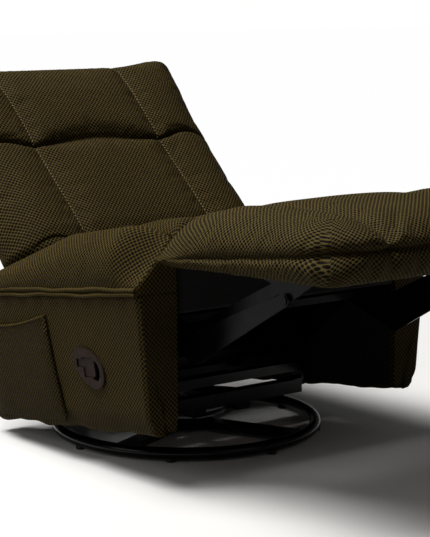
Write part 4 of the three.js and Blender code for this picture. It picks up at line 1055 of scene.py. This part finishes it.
def build_pocket():
    # Distances back from the arm's front edge, and heights up its face
    front_at, slant, rear_at, low, high, dip, puff_out = 298, 20, 540, 9, 226, 24, 7
    u, v = grid_of(np.linspace(0, 1, 60), np.linspace(0, 1, 50))
    top = high - dip * np.sin(pi * np.minimum(1, u * 1.1) / 1.6)
    front = -front_at + slant * (1 - v) ** 1.4
    belly = swell(v, 0.4) * lerp(1, 0.6, ease(v, 0.5, 1))
    puff = puff_out * belly * swell(u, 0.14) * swell(1 - u, 0.22)
    ahead, up = lerp(front, -rear_at, u), lerp(low, top, v)
    stand = 0.5 + 0.7 * swell(u, 0.05) + puff

    def on_face(lift):
        """The pocket's grid, standing off the arm's flared face."""
        off = stand + lift
        return in_body(xyz(
            -arm_outer(0) - up * sin(ARM_FLARE) - off * cos(ARM_FLARE),
            -ahead, up * cos(ARM_FLARE) - off * sin(ARM_FLARE)))

    sheet = pillow_mesh("pocket", on_face(2.4), on_face(0.2), shaded_pocket_mesh)
    dress(sheet, "seat", "pocket_fabric", "side_pocket")
    hem = tube_mesh("pocket_hem", on_face(2.2)[:, -1], 2.3, welt_mesh)
    dress(hem, "seat", "pocket_fabric")
    corner = on_face(3.6)[:3, -8:]
    turns = [corner[i % 2 * 2, 7 - i] for i in range(8)]
    tack = tube_mesh("pocket_tack", turns, 0.8, thread_material, sides=6)
    dress(tack, "seat", "pocket_fabric")


# -------- black cloths, base

def cloth_edges(half, low, high, across, up):
    """Grid of a hanging cloth, and the share of its thickness, which thins out at its edges."""
    edge = 3
    x, z = grid_of(cosine_spread(-half, half, across, 0.3), cosine_spread(low, high, up, 0.3))
    return x, z, swell(half - np.abs(x), edge) * swell(z - low, edge) * swell(high - z, edge)


def build_deck():
    half, front, rear, high, under, sag, apron_y = 279, -14.7, 338, 317.9, 313.2, 1.6, -24
    x, y = grid_of(np.linspace(-half, half, 60), np.linspace(front, rear, 50))
    dip = (sag * np.sin(pi * (x + half) / (2 * half))
           * np.sin(pi * (y - front) / (rear - front)))
    top, low = in_body(xyz(x, y, high - dip * 0.3)), in_body(xyz(x, y, under + 0.2 * dip))
    deck = pillow_mesh("deck_cloth", top, low, black_cloth)
    dress(deck, "seat", "black_cloth", "seat_deck")

    x, z, around = cloth_edges(half, 222.5, 317.5, 60, 20)
    wrinkle = 0.6 * np.sin(x / 31.0 + z / 40.0) + 0.4 * np.sin(x / 12.0)
    near = in_body(xyz(x, apron_y - 7 * around + wrinkle * around, z))
    far = in_body(xyz(x, apron_y + 8.6 * around, z))
    apron = pillow_mesh("front_cloth", near, far, black_cloth)
    dress(apron, "seat", "black_cloth", "seat_front_board")


def build_rear_cloth():
    # A black sheet hung across the rear of the body, so that the view through the frame there is
    # dark: painted shade.
    high, shade_sheet_y = 274, 559
    x, z, around = cloth_edges(282.4, 24, high, 70, 40)
    wave = 2.4 * np.sin(x / 47.0 + z / 90.0) * (1 - z / high) + 0.5 * np.sin(x / 13.0)
    faces = [in_body(xyz(x, shade_sheet_y + wave + offset * around, z)) for offset in (-0.7, 0.7)]
    cloth = pillow_mesh("rear_cloth", *faces, black_cloth)
    dress(cloth, "seat", "black_cloth")


def on_ring(angle, z):
    """Places on the base ring's circle, by their angle from the front."""
    radius = 280
    return xyz(radius * np.sin(angle), SWIVEL_Y - radius * np.cos(angle), z)


def build_base():
    ring_tube, ring_z, foot_count, first_foot = 12.7, 16.7, 8, 24
    foot_profile = ((0.3, 9.2), (0.1, 10.2), (1.2, 11), (4.4, 11), (5.4, 10.4), (8, 10))
    ring = tube_mesh("ring_tube", on_ring(full_turn(144), ring_z), ring_tube, base_steel,
                     sides=24, loop=True)
    turn = full_turn(24)
    feet = []
    for i in range(foot_count):
        centre = on_ring(radians(first_foot + (i + 0.5) * 360 / foot_count), 0)
        rings = [centre + xyz(r * np.cos(turn), r * np.sin(turn), z) for z, r in foot_profile]
        feet.append(loft_mesh("foot", rings, foot_plastic))
    foot = joined("glide_feet", feet)
    dress(foot, "base", "black_steel")
    dress(ring, "base", "black_steel", "base_ring")


# -------- the whole chair

build_stage()
pad = build_pad()
seat = build_seat()
back, back_shell = build_back()
simulate()
for piece, body, slot, node in (
        (pad, "footrest", "footrest_fabric", "footrest_pad"),
        (seat, "seat", "seat_fabric", "seat_cushion"),
        (back, "back", "back_fabric", "back_cushion"),
        (back_shell, "back", "back_fabric", "back_cover_rear")):
    rounder(piece)
    dress(piece, body, slot, node)

pad_lines, back_lines = [], []
for side in (-1, 1):
    over = [(side * PAD_COLUMN, y, 95.0) for y in np.linspace(-428, -10, 60)]
    down = [(side * PAD_COLUMN, -470.0, z) for z in np.linspace(102, 56, 12)]
    up = [(side * BACK_COLUMN * back_width(v) / BACK_HALF, -20.0, v)
          for v in np.linspace(70, 560, 60)]
    pad_lines += [stitch_line(in_foot, over, (0, 0, -1)), stitch_line(in_foot, down, (0, 1, 0))]
    back_lines.append(stitch_line(in_back, up, (0, 1, 0)))
dress(stitches(pad, pad_lines), "footrest", "footrest_fabric")
dress(stitches(back, back_lines), "back", "back_fabric")
for side in (-1, 1):
    build_arm(side)
build_pocket()
build_deck()
build_rear_cloth()
build_base()
